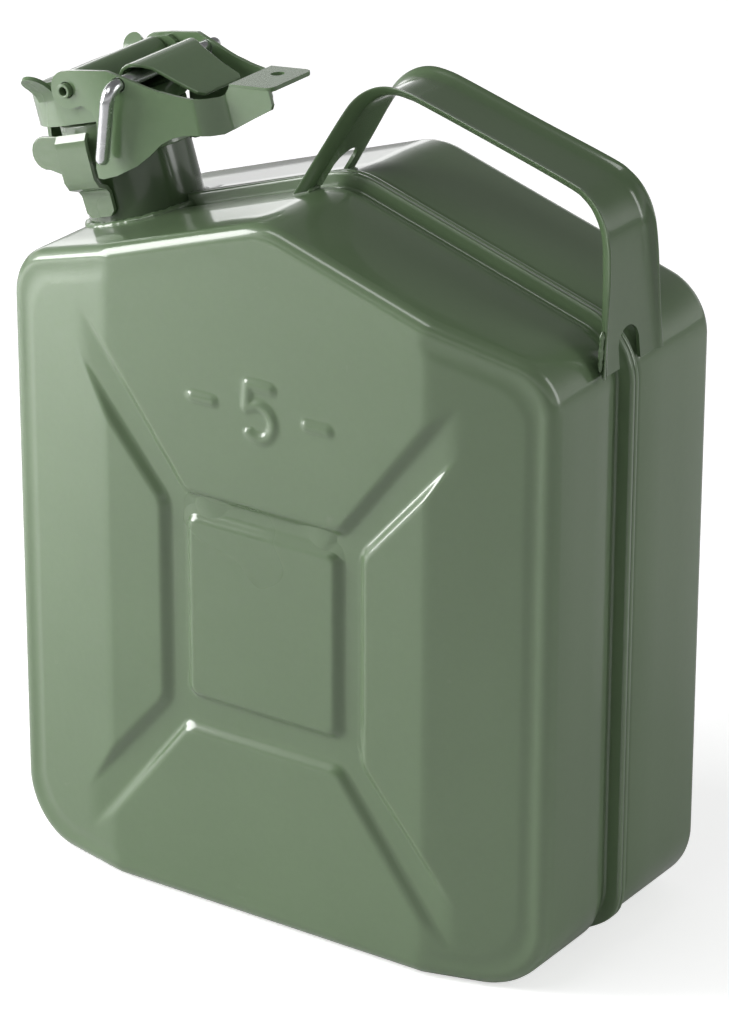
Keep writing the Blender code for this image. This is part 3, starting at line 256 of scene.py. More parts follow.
# The grid: the rings' spread over the panel, its last part that meets the edge, and the inner skin.
PANEL_SPREAD, EDGE_SHARE = (0.006, 1.0), 0.06
INNER_SPREAD, INNER_ROWS = (0.9, 0.02), 12
shell_paint = enamel_paint("shell_paint", GREEN, rough=0.30, peel_mm=0.020, patch=6.0)


def rounded_outline(count):
    """Points on the body's outline and their outward normals: straight sides with an arc at each corner,
    then spaced evenly by the length run plus the angle turned times its weight."""
    left_z = RIDGE_Z - (RIDGE_X + HALF_WIDTH) * ROOF_LEFT
    right_z = RIDGE_Z - (HALF_WIDTH - RIDGE_X) * ROOF_RIGHT
    bottom = [(-HALF_WIDTH, 0), (HALF_WIDTH, 0)]
    corners = np.array(bottom + [(HALF_WIDTH, right_z), (RIDGE_X, RIDGE_Z), (-HALF_WIDTH, left_z)])
    radii = np.array(CORNER_RADII)
    before = corners - np.roll(corners, 1, axis=0)
    before /= np.linalg.norm(before, axis=1)[:, None]
    after = np.roll(before, -1, axis=0)
    turn = np.arccos(np.clip((before * after).sum(1), -1, 1))
    reach = radii * np.tan(turn / 2)
    inward = np.column_stack([-before[:, 1], before[:, 0]])
    centres = corners - before * reach[:, None] + inward * radii[:, None]
    part = np.linspace(0, 1, CORNER_POINTS)
    angle = np.arctan2(-inward[:, 1], -inward[:, 0])[:, None] + turn[:, None] * part
    normals = np.stack([np.cos(angle), np.sin(angle)], axis=2).reshape(-1, 2)
    points = (centres[:, None] + radii[:, None, None] * normals.reshape(len(radii), -1, 2)).reshape(-1, 2)
    points, normals = np.vstack([points, points[:1]]), np.vstack([normals, normals[:1]])
    run = np.linalg.norm(np.diff(points, axis=0), axis=1)
    bend = np.linalg.norm(np.diff(normals, axis=0), axis=1)
    at = np.concatenate([[0], np.cumsum(run + TURN_WEIGHT * bend)])
    want = np.linspace(0, at[-1], count, endpoint=False)
    points = np.column_stack([np.interp(want, at, points[:, k]) for k in (0, 1)])
    normals = np.column_stack([np.interp(want, at, normals[:, k]) for k in (0, 1)])
    return points, normals / np.linalg.norm(normals, axis=1)[:, None]


def soft_max(a, b, width):
    """The larger of two values. Where they lie within the width, a share of each plus a hump of
    share times what is left of it rounds the change."""
    share = np.clip(0.5 + 0.5 * (a - b) / width, 0, 1)
    return b + (a - b) * share + width * share * (1 - share)


def eased(value):
    """Rises from 0 to 1 with soft ends: three times the square less twice the cube."""
    value = np.clip(value, 0, 1)
    return value * value * (3 - 2 * value)


def box_distance(x, z, half, low, high, radius):
    """Distance to a rectangle with rounded corners, negative inside it."""
    dx = np.abs(x - PATTERN_X) - half + radius
    dz = np.abs(z - (low + high) / 2) - (high - low) / 2 + radius
    outside = np.hypot(np.maximum(dx, 0), np.maximum(dz, 0))
    return outside + np.minimum(np.maximum(dx, dz), 0) - radius


def facet_fall(x):
    """How far the front falls back at x: straight lines from the creases out to the sides, rounded where
    they start."""
    left = soft_max((CREASE_LEFT - x) / (HALF_WIDTH + CREASE_LEFT) * FALL_LEFT, 0 * x, CREASE_ROUND)
    right = soft_max((x - CREASE_RIGHT) / (HALF_WIDTH - CREASE_RIGHT) * FALL_RIGHT, 0 * x, CREASE_ROUND)
    return np.where(x < 0, left, right)


def pressed_depth(x, z):
    """Depth of the ring and the four channels: the distance in from the nearest edge over the slope's
    width, eased, and no more than the pad leaves."""
    depth = -box_distance(x, z, *RING) / PRESS_SLOPE
    pad = box_distance(x, z, *PAD) / PAD_SLOPE + 1.0
    for (ax, az), (bx, bz), half_a, half_b in CHANNELS:
        length = math.hypot(bx - ax, bz - az)
        tx, tz = (bx - ax) / length, (bz - az) / length
        along = (x - ax) * tx + (z - az) * tz
        across = np.abs((z - az) * tx - (x - ax) * tz)
        half = half_a + (half_b - half_a) * along / length
        channel = np.minimum(half - across, along + CHANNEL_LEAD) / PRESS_SLOPE
        depth = soft_max(depth, channel, CHANNEL_JOIN)
    return PRESS_DEPTH * eased(np.minimum(depth, pad))


def stroke_distance(x, z, start, end):
    """Distance to the middle line of a numeral's straight stroke, given in shares of its size."""
    ax, az = NUMERAL_X + start[0] * NUMERAL_SIZE, NUMERAL_Z + start[1] * NUMERAL_SIZE
    bx, bz = NUMERAL_X + end[0] * NUMERAL_SIZE, NUMERAL_Z + end[1] * NUMERAL_SIZE
    run_x, run_z = bx - ax, bz - az
    share = np.clip(((x - ax) * run_x + (z - az) * run_z) / (run_x**2 + run_z**2), 0, 1)
    return np.hypot(x - ax - share * run_x, z - az - share * run_z)


def numeral_height(x, z):
    """Height of the numeral: full near the middle line of a stroke or of the bowl, then an eased slope."""
    best = np.min([stroke_distance(x, z, *ends) for ends in STROKES], axis=0)
    hub_x, hub_z = NUMERAL_X + BOWL_X * NUMERAL_SIZE, NUMERAL_Z + BOWL_Z * NUMERAL_SIZE
    angle = np.arctan2(z - hub_z, x - hub_x)
    bowl = np.abs(np.hypot(x - hub_x, z - hub_z) - BOWL_RADIUS * NUMERAL_SIZE)
    best = np.where((angle > BOWL_START) & (angle < BOWL_END), np.minimum(best, bowl), best)
    return NUMERAL_RISE * eased(1 + STROKE_FLAT / STROKE_SLOPE - best / STROKE_SLOPE)


def turn_faces_out(work):
    """Makes every face of a closed mesh point outwards."""
    bmesh.ops.recalc_face_normals(work, faces=work.faces)


def rework(mesh, *steps):
    """Opens the mesh for editing, takes each step on it and writes it back."""
    work = bmesh.new()
    work.from_mesh(mesh)
    for step in steps:
        step(work)
    work.to_mesh(mesh)
    work.free()


def grid_mesh(name, rings, closed_round=True, poles=(None, None), material=None):
    """Mesh of quads over a grid of points, rows by columns, with a fan to each pole that is given."""
    rows, columns = rings.shape[:2]
    index = np.arange(rows * columns).reshape(rows, columns)
    right_of = np.roll(index, -1, axis=1) if closed_round else index[:, 1:]
    here = index if closed_round else index[:, :-1]
    quads = np.stack([here[:-1], right_of[:-1], right_of[1:], here[1:]], axis=-1).reshape(-1, 4)
    points = rings.reshape(-1, 3)
    fans = []
    for pole, row, flip in ((poles[0], 0, True), (poles[1], rows - 1, False)):
        if pole is None:
            continue
        a, b = here[row], right_of[row]
        tip = np.full(len(a), len(points))
        points = np.vstack([points, [pole]])
        fans.append(np.stack([a, tip, b] if flip else [a, b, tip], axis=-1))
    loops = np.concatenate([quads.ravel()] + [fan.ravel() for fan in fans])
    sizes = np.concatenate([np.full(len(quads), 4)] + [np.full(len(fan), 3) for fan in fans])
    starts = np.concatenate([[0], np.cumsum(sizes)[:-1]])
    mesh = bpy.data.meshes.new(name)
    mesh.vertices.add(len(points))
    mesh.vertices.foreach_set("co", (points * MM).astype(np.float32).ravel())
    mesh.loops.add(len(loops))
    mesh.loops.foreach_set("vertex_index", loops.astype(np.int32))
    mesh.polygons.add(len(sizes))
    mesh.polygons.foreach_set("loop_start", starts.astype(np.int32))
    mesh.update(calc_edges=True)
    mesh.validate()
    mesh.polygons.foreach_set("use_smooth", np.ones(len(mesh.polygons), bool))
    obj = linked(name, mesh)
    rework(mesh, turn_faces_out)
    if material is not None:
        mesh.materials.append(material)
    return obj


def face_back(x, z, faceted):
    """How far the face lies back of the half's full depth: the pressing, joined on the front with the
    facets' fall and less the numeral."""
    depth = pressed_depth(x, z)
    if faceted:
        depth = soft_max(depth, facet_fall(x), FACET_ROUND) - numeral_height(x, z)
    return depth


def section_steps(rim_y, rise):
    """How far each ring grows past the outline, and its y: over the edge, down the wall, through the valley,
    round the flange, and back inside to the inner skin."""
    steps = []
    for degrees in OUTER_DEGREES:
        a = math.radians(degrees)
        steps.append((-EDGE_RADIUS * (1 - math.cos(a)), rim_y - EDGE_RADIUS * (1 - math.sin(a))))
    foot = VALLEY_HALF + VALLEY_SHOULDER
    steps += [(0.0, (rim_y - EDGE_RADIUS) * (1 - share) + foot * share) for share in WALL_SHARES]
    steps += [(grow, VALLEY_HALF + y) for grow, y in VALLEY_BEND]
    top = SEAM_HALF_GAP + FLANGE_THICK
    steps += [(-VALLEY_DEPTH + grow, top + y) for grow, y in FLANGE_ROOT]
    steps += [(-VALLEY_DEPTH * (1 - share) + rise * share, top + y) for share, y in FLANGE_BEND]
    steps += [(rise + grow, SEAM_HALF_GAP + y) for grow, y in FLANGE_EDGE]
    under = -VALLEY_DEPTH - SHEET
    steps += [(under, SEAM_HALF_GAP), (under, VALLEY_HALF - INNER_VALLEY_IN), (-SHEET, foot)]
    inner = EDGE_RADIUS - SHEET
    for degrees in INNER_DEGREES:
        a = math.radians(degrees)
        steps.append((-EDGE_RADIUS + inner * math.cos(a), rim_y - EDGE_RADIUS + inner * math.sin(a)))
    return steps


def pressed_half(name, sign, columns, rows, faceted):
    """One half as rings of points: the rim spread out from the panel's middle, then the outline grown along
    its normals by each step of the section, then the inner skin back to the middle."""
    points, normals = rounded_outline(columns)
    middle = np.array([PATTERN_X, MIDDLE_Z])
    rim = points - EDGE_RADIUS * normals
    fall = facet_fall(rim[:, 0]) if faceted else np.zeros(columns)
    rim_y = HALF_DEPTH - fall
    spread = np.linspace(*PANEL_SPREAD, rows)[:, None, None]
    panel = middle + spread * (rim - middle)
    panel_y = HALF_DEPTH - face_back(panel[..., 0], panel[..., 1], faceted)
    at_edge = eased((spread[..., 0] - (1 - EDGE_SHARE)) / EDGE_SHARE)
    panel_y = panel_y * (1 - at_edge) + rim_y * at_edge
    rings = [np.dstack([panel[..., 0], panel_y, panel[..., 1]])]
    bottom = eased((-normals[:, 1] - BOTTOM_FROM) / BOTTOM_OVER)
    rise = FLANGE_RISE * (1 - bottom) - BOTTOM_DRAWN_IN * bottom
    for grow, y in section_steps(rim_y, rise):
        place = points + normals * np.reshape(grow, (-1, 1))
        rings.append(np.column_stack([place[:, 0], np.zeros(columns) + y, place[:, 1]])[None])
    inner_spread = np.linspace(*INNER_SPREAD, INNER_ROWS)[:, None, None]
    inner_panel = middle + inner_spread * (rim - middle)
    inner_y = HALF_DEPTH - SHEET - face_back(inner_panel[..., 0], inner_panel[..., 1], faceted)
    rings.append(np.dstack([inner_panel[..., 0], inner_y, inner_panel[..., 1]]))
    surface = np.concatenate(rings)
    surface[..., 1] *= sign
    surface[..., 0] += FRAME_X
    depth = float(face_back(middle[None, 0], middle[None, 1], faceted)[0])
    poles = [(middle[0] + FRAME_X, sign * (HALF_DEPTH - depth - lift), middle[1]) for lift in (0.0, SHEET)]
    return grid_mesh(name, surface, poles=poles, material=shell_paint)


front = pressed_half("front_pressing", sign=-1, columns=510, rows=150, faceted=True)
rear = pressed_half("rear_pressing", sign=1, columns=400, rows=100, faceted=False)


# Spout neck: a welded steel tube, 41 mm across, that leans 17 degrees to the front and goes through the
# roof over the seam, so both halves are cut out for it. The closure's frame has its origin on the
# lever's pivot, with u back along the lever and v up the neck.
TILT = math.radians(17.0)
PIVOT_IN, PIVOT_UP = 12.96, 18.87
PIVOT_X, PIVOT_Z = -HALF_WIDTH + PIVOT_IN + FRAME_X, RIDGE_Z + PIVOT_UP
NECK_U, NECK_RADIUS, NECK_WALL, NECK_TOP = -1.0, 20.5, 1.5, -13.2
NECK_FOOT, NECK_BREAK, BREAK_DOWN, RING_GAP = 4.0, 0.5, 0.6, 1.0
NECK_COLUMNS, OUTER_RINGS, INNER_RINGS = 128, 12, 6
HOLE_CLEAR, HOLE_REACH, HOLE_COLUMNS = 0.7, 25.0, 64
# The tube's green is darker than the can's: painted shade, standing in for the dark surroundings that its
# gloss reflects.
NECK_PAINTED_SHADE_GREEN = (0.050, 0.086, 0.036, 1.0)
tube_shaded_paint = enamel_paint("tube_shaded_paint", NECK_PAINTED_SHADE_GREEN, rough=0.20, peel_mm=0.006, patch=2.0, coat=THIN_COAT)


def from_closure(u, y, v):
    """Points of the model from arrays of u, y and v: u and v turned by the tilt about the pivot."""
    u, y, v = np.broadcast_arrays(u, y, v)
    x = PIVOT_X + u * math.cos(TILT) - v * math.sin(TILT)
    z = PIVOT_Z + u * math.sin(TILT) + v * math.cos(TILT)
    return np.stack([x, y, z], axis=-1)


def turned(name, profile, columns, material):
    """A closed profile of radius and v, turned round the neck's axis."""
    profile = np.array(profile, float)
    profile = np.vstack([profile, profile[:1]])
    angle = np.linspace(0, 2 * math.pi, columns, endpoint=False)
    radius, v = profile[:, :1], profile[:, 1:]
    surface = from_closure(NECK_U + radius * np.cos(angle), radius * np.sin(angle), v)
    return grid_mesh(name, surface, material=material)


def cut(piece, *cutters):
    """Takes the cutters' shapes out of the piece and removes the cutters."""
    for cutter in cutters:
        modifier = piece.modifiers.new("cut", "BOOLEAN")
        modifier.object = cutter
        modifier.operation = "DIFFERENCE"
        modifier.solver = "EXACT"
    bpy.context.view_layer.update()
    graph = bpy.context.evaluated_depsgraph_get()
    result = bpy.data.meshes.new_from_object(piece.evaluated_get(graph))
    piece.modifiers.clear()
    piece.data = result
    for cutter in cutters:
        bpy.data.objects.remove(cutter)


# The root is where the tube's middle line meets the roof, and its foot goes on below that.
axis_x = -HALF_WIDTH + PIVOT_IN + NECK_U * math.cos(TILT)
axis_z = PIVOT_Z + NECK_U * math.sin(TILT)
roof_z = RIDGE_Z - (RIDGE_X - axis_x) * ROOF_LEFT
NECK_ROOT = -(axis_z - roof_z) / (math.cos(TILT) + ROOF_LEFT * math.sin(TILT))
bore = NECK_RADIUS - NECK_WALL
profile = [(bore, NECK_ROOT - NECK_FOOT), (NECK_RADIUS, NECK_ROOT - NECK_FOOT), (NECK_RADIUS, NECK_ROOT)]
profile += [(NECK_RADIUS, v) for v in np.linspace(NECK_ROOT + RING_GAP, NECK_TOP - BREAK_DOWN, OUTER_RINGS)]
profile += [(NECK_RADIUS - NECK_BREAK, NECK_TOP), (bore, NECK_TOP)]
profile += [(bore, v) for v in np.linspace(NECK_TOP - RING_GAP, NECK_ROOT, INNER_RINGS)]
neck = turned("neck_tube", profile, NECK_COLUMNS, tube_shaded_paint)
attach(neck, "can")
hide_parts("spout_neck")
angle = np.linspace(0, 2 * math.pi, HOLE_COLUMNS, endpoint=False)
hole_radius = NECK_RADIUS - HOLE_CLEAR
reach = np.array([NECK_ROOT - HOLE_REACH, NECK_ROOT + HOLE_REACH])[:, None]
hole = from_closure(NECK_U + hole_radius * np.cos(angle), hole_radius * np.sin(angle), reach)
for shell, node in ((front, "front_shell"), (rear, "rear_shell")):
    cut(shell, grid_mesh("neck_cutter", hole, poles=[tuple(end.mean(0)) for end in hole]))
    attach(shell, "can")
    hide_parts(node)


# The neck's weld: a bead of molten steel laid round the tube where it meets the sloping roof, low and
# slightly rippled, and painted over with the can.
BEAD_RADIUS, BEAD_RIPPLE, BEAD_POINTS = 1.5, 0.08, 150
BEAD_OUT, BEAD_SUNK = 0.7, -0.4
BEAD_SIDE = (0.12, 0.31, 0.94)
BEAD_ROUND, BEAD_TAPER, BEAD_TIP = 14, 4, 0.25
RIPPLE_FAST, RIPPLE_SLOW = 1.9, 0.73
weld_paint = enamel_paint("weld_paint", GREEN, rough=0.32, peel_mm=0.05, patch=2.0)


def weld_bead(name, path, radius, ripple):
    """A tube along a path of points. Two sines of different length along the path swell and narrow its
    radius, and its ends taper."""
    path = np.asarray(path, float)
    tangent = np.gradient(path, axis=0)
    tangent /= np.linalg.norm(tangent, axis=1)[:, None]
    side = np.cross(tangent, BEAD_SIDE)
    side /= np.linalg.norm(side, axis=1)[:, None]
    other = np.cross(tangent, side)
    run = np.arange(len(path))
    size = radius * (1 + ripple * np.sin(run * RIPPLE_FAST) + ripple * np.sin(run * RIPPLE_SLOW + 1))
    size *= eased(np.minimum(run, run[::-1]) / BEAD_TAPER + BEAD_TIP)
    around = np.linspace(0, 2 * math.pi, BEAD_ROUND, endpoint=False)
    tube = path[:, None] + size[:, None, None] * (
        np.cos(around)[None, :, None] * side[:, None] + np.sin(around)[None, :, None] * other[:, None]
    )
    return grid_mesh(name, tube, poles=(tuple(path[0]), tuple(path[-1])), material=weld_paint)


def roof_height(x, grow):
    """Height of the roof at x, grown outwards by a distance: the lower of its two slopes."""
    left = RIDGE_Z - (RIDGE_X - x) * ROOF_LEFT + grow * math.hypot(1, ROOF_LEFT)
    right = RIDGE_Z - (x - RIDGE_X) * ROOF_RIGHT + grow * math.hypot(1, ROOF_RIGHT)
    return np.minimum(left, right)


# Each point of the bead slides down beside the tube until it meets the roof.
around = np.linspace(0, 2 * math.pi, BEAD_POINTS)
bead_u = NECK_U + (NECK_RADIUS + BEAD_OUT) * np.cos(around)
bead_y = (NECK_RADIUS + BEAD_OUT) * np.sin(around)
base = from_closure(bead_u, bead_y, 0.0)
down = from_closure(0.0, 0.0, -1.0) - from_closure(0.0, 0.0, 0.0)
target = roof_height(base[:, 0] - FRAME_X, BEAD_SUNK)
drop = (base[:, 2] - target) / -(down[2] - down[0] * ROOF_LEFT)
bead = weld_bead("neck_weld", base + drop[:, None] * down, BEAD_RADIUS, BEAD_RIPPLE)
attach(bead, "can")


# Handle: one strip of steel rolled to a shallow channel, its flanges turned up and outwards, bent over
# at the front and the back and welded to the roof and the end wall, with an arch over the seam. Each
# station has x and z of its under face, its web's half width, and its flange's flare and height.
HANDLE = np.array([
    (-11.5, 246.3, 14.0, 1.6, 4.0), (-6.5, 254.5, 13.8, 1.6, 4.0), (2.0, 268.5, 12.8, 2.0, 4.0),
    (9.8, 281.3, 11.8, 2.4, 4.0), (14.2, 287.2, 11.4, 2.5, 4.1), (19.2, 291.0, 11.1, 2.6, 4.1),
    (24.5, 292.7, 11.0, 2.6, 4.1), (30.5, 292.4, 11.0, 2.6, 4.1), (38.0, 290.7, 11.0, 2.6, 4.0),
    (66.0, 282.6, 11.0, 2.6, 4.0), (92.0, 275.0, 11.6, 2.4, 4.1), (98.8, 272.0, 12.0, 2.0, 4.3),
    (103.2, 267.6, 12.6, 1.7, 4.4), (106.0, 261.0, 13.2, 1.4, 4.5), (107.2, 251.0, 14.1, 1.0, 4.5),
    (107.9, 238.0, 15.2, 1.1, 4.0), (108.8, 224.0, 16.4, 1.4, 3.2), (109.6, 215.5, 17.2, 1.6, 2.6),
])
SPAN_STEPS = 10
STRAP = 1.2
# The channel's bend, in from the web's edge and up, and the flange's knee as a share of the flare. On
# the upper side the knee also lies in and up by shares of the strap's thickness.
BEND_IN, BEND_LIFT, KNEE_SHARE, KNEE_UP = 2.2, 0.5, 0.35, 1.9
UPPER_WEB_IN, UPPER_BEND_IN, UPPER_KNEE_UP = 3.2, 1.6, 2.1
KNEE_THICK_IN, KNEE_THICK_UP = 0.9, 0.3
SECTION_ROUNDS = 2
ARCH_HALF, ARCH_LONG, ARCH_REACH, ARCH_POINTS = 6.4, 45.0, 12.0, 24
WALL_ARCH_TOP, FRONT_ARCH_TOP = 228.5, 15.0
BODY_CLEAR, BODY_CUTTER_Y, BODY_CUTTER_POINTS = 0.3, 60.0, 240
SHARP_FROM = math.radians(40)
# The handle's green is darker than the can's: painted shade, standing in for the dark surroundings that its
# gloss reflects.
HANDLE_PAINTED_SHADE_GREEN = (0.086, 0.136, 0.066, 1.0)
handle_paint = enamel_paint("handle_paint", HANDLE_PAINTED_SHADE_GREEN, rough=0.22, peel_mm=0.012, patch=4.0)


def rounded_path(stations, steps):
    """Catmull-Rom curve through the stations, each span cut in equal steps."""
    padded = np.vstack([2 * stations[0] - stations[1], stations, 2 * stations[-1] - stations[-2]])
    t = np.linspace(0, 1, steps, endpoint=False)[None, :, None]
    a, b, c, d = (padded[i : len(padded) - 3 + i][:, None] for i in range(4))
    curve = 0.5 * (2 * b + (c - a) * t + (2 * a - 5 * b + 4 * c - d) * t**2 + (3 * b - a - 3 * c + d) * t**3)
    return np.vstack([curve.reshape(-1, stations.shape[1]), stations[-1:]])


def channel_handle():
    """Channel section swept along the path: a flat web and two flared flanges. Each corner of the section
    is replaced, twice, by points a quarter of the way along its two sides, which rounds it."""
    run = rounded_path(HANDLE, SPAN_STEPS)
    step = np.gradient(run[:, :2], axis=0)
    step /= np.linalg.norm(step, axis=1)[:, None]
    web, flare, height = run[:, 2], run[:, 3], run[:, 4]
    zero = np.zeros(len(run))
    half = [
        (web - BEND_IN, zero),
        (web - BEND_LIFT, zero + BEND_LIFT),
        (web + KNEE_SHARE * flare, zero + KNEE_UP),
        (web + flare, height),
        (web + flare - STRAP, height),
        (web + KNEE_SHARE * flare - STRAP * KNEE_THICK_IN, zero + UPPER_KNEE_UP + KNEE_THICK_UP * STRAP),
        (web - UPPER_BEND_IN, zero + STRAP + BEND_LIFT),
        (web - UPPER_WEB_IN, zero + STRAP),
        (zero, zero + STRAP),
    ]
    sides = half + [(-w, n) for w, n in reversed(half[:-1])] + [(zero, zero)]
    section = np.stack([np.stack(pair, axis=-1) for pair in sides], axis=1)
    for _ in range(SECTION_ROUNDS):
        ahead = np.roll(section, -1, axis=1)
        section = np.stack([0.75 * section + 0.25 * ahead, 0.25 * section + 0.75 * ahead], axis=2)
        section = section.reshape(len(run), -1, 2)
    w, n = section[..., 0], section[..., 1]
    x = run[:, :1] - n * step[:, 1:] + FRAME_X
    z = run[:, 1:2] + n * step[:, :1]
    strap = grid_mesh("handle_strap", np.stack([x, w, z], axis=-1), material=handle_paint)
    rework(strap.data, lambda work: bmesh.ops.holes_fill(work, edges=work.edges), turn_faces_out)
    return strap


def body_cutter():
    """The body's own outline, grown a little and carried through from side to side."""
    outline, normals = rounded_outline(BODY_CUTTER_POINTS)
    grown = outline + BODY_CLEAR * normals
    prism = []
    for y in (-BODY_CUTTER_Y, BODY_CUTTER_Y):
        prism.append(np.column_stack([grown[:, 0] + FRAME_X, np.full(len(grown), y), grown[:, 1]]))
    return grid_mesh("foot_cutter", np.stack(prism), poles=[tuple(end.mean(0)) for end in prism])


def arch_cutter(foot, along, out, top):
    """A slot with a round head, pushed through the foot: s runs along the foot, y across it."""
    head = np.radians(np.linspace(0, 180, ARCH_POINTS))
    y = np.concatenate([[-ARCH_HALF, ARCH_HALF], ARCH_HALF * np.cos(head)])
    s = np.concatenate([[top - ARCH_LONG, top - ARCH_LONG], top - ARCH_HALF + ARCH_HALF * np.sin(head)])
    rings = []
    for reach in (-ARCH_REACH, ARCH_REACH):
        x = foot[0] + along[0] * s + out[0] * reach + FRAME_X
        rings.append(np.column_stack([x, y, foot[1] + along[1] * s + out[1] * reach]))
    count = len(rings[0])
    here = np.arange(count)
    ahead = np.roll(here, -1)
    faces = np.stack([here, ahead, ahead + count, here + count], axis=-1).tolist()
    faces += [here[::-1].tolist(), (here + count).tolist()]
    mesh = bpy.data.meshes.new("arch_cutter")
    mesh.from_pydata((np.vstack(rings) * MM).tolist(), [], faces)
    cutter = linked("arch_cutter", mesh)
    rework(mesh, turn_faces_out)
    return cutter


handle = channel_handle()
front_foot = HANDLE[1, :2]
lean = HANDLE[2, :2] - front_foot
lean /= np.linalg.norm(lean)
cut(
    handle,
    body_cutter(),
    arch_cutter((HALF_WIDTH, 0.0), (0.0, 1.0), (1.0, 0.0), WALL_ARCH_TOP),
    arch_cutter(front_foot, lean, (-lean[1], lean[0]), FRONT_ARCH_TOP),
)
handle.data.shade_smooth()
handle.data.set_sharp_from_angle(angle=SHARP_FROM)
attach(handle, "can")
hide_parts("handle")


# The handle's welds: short beads that hold its feet, along both edges on the end wall and on both sides
# of the arch at the front foot, painted over with the handle.
STITCH_RADIUS, STITCH_RIPPLE = 0.9, 0.12
WALL_STITCH, WALL_STITCH_POINTS, WALL_STITCH_OUT = (218.0, 232.0), 22, 0.3
STRAP_EDGE_Y, STRAP_EDGE_Z, STRAP_NARROWS = 18.1, 216, 0.085
FOOT_STITCH, FOOT_STITCH_POINTS = (7.5, 14.5), 16
FOOT_STITCH_X, FOOT_STITCH_LIFT = -6.3, 0.2


def handle_stitch(name, path):
    """A short bead, fixed to the can."""
    seam = weld_bead(name, path, STITCH_RADIUS, STITCH_RIPPLE)
    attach(seam, "can")


for sign, side in ((-1, "near"), (1, "far")):
    z = np.linspace(*WALL_STITCH, WALL_STITCH_POINTS)
    x = np.full(len(z), HALF_WIDTH + WALL_STITCH_OUT + FRAME_X)
    edge = STRAP_EDGE_Y - (z - STRAP_EDGE_Z) * STRAP_NARROWS
    handle_stitch("handle_weld_" + side, np.column_stack([x, sign * edge, z]))
    y = sign * np.linspace(*FOOT_STITCH, FOOT_STITCH_POINTS)
    x = np.full(len(y), FOOT_STITCH_X)
    z = roof_height(x, FOOT_STITCH_LIFT)
    handle_stitch("front_foot_weld_" + side, np.column_stack([x + FRAME_X, y, z]))


# Pressed and folded pieces of the closure: sheet steel with broken edges, riveted and welded together
# and painted. Each takes its solid's shape, with its edges rounded and its bends smoothed.
MERGE_METRES, FLAT_WITHIN, EDGE_FROM = 2e-6, math.radians(0.6), math.radians(32)
EDGE_SEGMENTS = 3
CLOSURE_GREEN, LEVER_GREEN = (0.112, 0.178, 0.088, 1.0), (0.120, 0.190, 0.094, 1.0)
neck_paint = enamel_paint("neck_paint", GREEN, rough=0.24, peel_mm=0.012, patch=3.0)
closure_paint = enamel_paint("closure_paint", CLOSURE_GREEN, rough=0.26, peel_mm=0.012, patch=4.0)
lever_paint = enamel_paint("lever_paint", LEVER_GREEN, rough=0.24, peel_mm=0.012, patch=4.0)


def join_flat(work):
    """Merges doubled points and joins faces that lie in one plane."""
    bmesh.ops.remove_doubles(work, verts=work.verts, dist=MERGE_METRES)
    bmesh.ops.dissolve_limit(work, angle_limit=FLAT_WITHIN, verts=work.verts, edges=work.edges)


def finished(node, name, body, edge_mm, material):
    """A copy of a node's solid with its flat faces joined, its edges rounded and its shading smoothed."""
    mesh = nodes[node].data.copy()
    mesh.name = name
    rework(mesh, join_flat)
    mesh.materials.clear()
    mesh.materials.append(material)
    mesh.shade_smooth()
    piece = linked(name, mesh)
    bevel = piece.modifiers.new("edges", "BEVEL")
    bevel.width = edge_mm * MM
    bevel.segments = EDGE_SEGMENTS
    bevel.limit_method = "ANGLE"
    bevel.angle_limit = EDGE_FROM
    bevel.use_clamp_overlap = True
    weighted = piece.modifiers.new("normals", "WEIGHTED_NORMAL")
    weighted.keep_sharp = False
    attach(piece, body)
    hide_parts(node)
    return piece


for node, name, body, edge, material, slot in (
    ("neck_collar", "mouth_ring", "can", 0.4, neck_paint, "neck_paint"),
    ("hinge_ear_near", "near_hinge_ear", "can", 0.5, neck_paint, "neck_paint"),
    ("hinge_ear_far", "far_hinge_ear", "can", 0.5, neck_paint, "neck_paint"),
    ("hinge_pin", "hinge_rivet", "can", 0.4, neck_paint, "neck_paint"),
    ("catch_near", "near_catch", "can", 0.45, neck_paint, "neck_paint"),
    ("catch_far", "far_catch", "can", 0.45, neck_paint, "neck_paint"),
    ("lid", "lid_cup", "lid_link", 0.3, closure_paint, "closure_paint"),
    ("lid_yoke", "lid_cover", "lid_link", 0.45, closure_paint, "closure_paint"),
    ("lever_pivot_pin", "hollow_rivet", "lid_link", 0.3, closure_paint, "closure_paint"),
    ("bridge_strap", "spring_strap", "lever_link", 0.4, closure_paint, "closure_paint"),
    ("lever", "cam_lever", "lever_link", 0.45, lever_paint, "lever_paint"),
):
    piece = finished(node, name, body, edge, material)


# Locking pin: steel wire with a bright zinc plate, bent once to a leg, its ends rounded. It lies loose
# in the lever's two cheeks and is drawn out by its leg.
LOCK_U, LOCK_V, WIRE_RADIUS, WIRE_BEND = 21.8, -0.9, 2.4, 5.0
WIRE_FAR_Y, WIRE_CORNER_Y, WIRE_LEG, LEG_LEAN = 31.0, -31.4, 27.5, math.radians(23.5)
STRAIGHT_POINTS, BEND_POINTS, LEG_POINTS = 40, 20, 24
DOME_RINGS, DOME_START, DOME_GAP = 8, 0.15, 0.5
WIRE_RINGS, WIRE_ROUND = 90, 28
MOTTLE = (320.0, 4.0, 0.5)
MOTTLE_ROUGHNESS, MOTTLE_DEPTH = (0.0, 1.0, 0.16, 0.34), 0.02
ZINC_DULL, ZINC_BRIGHT = (0.50, 0.51, 0.52, 1.0), (0.78, 0.79, 0.80, 1.0)


def toned(tree, source, dark, light):
    """A colour between two, by the source."""
    tone = tree.nodes.new("ShaderNodeValToRGB")
    tone.color_ramp.elements[0].color = dark
    tone.color_ramp.elements[1].color = light
    tree.links.new(source, tone.inputs["Fac"])
    return tone.outputs["Color"]


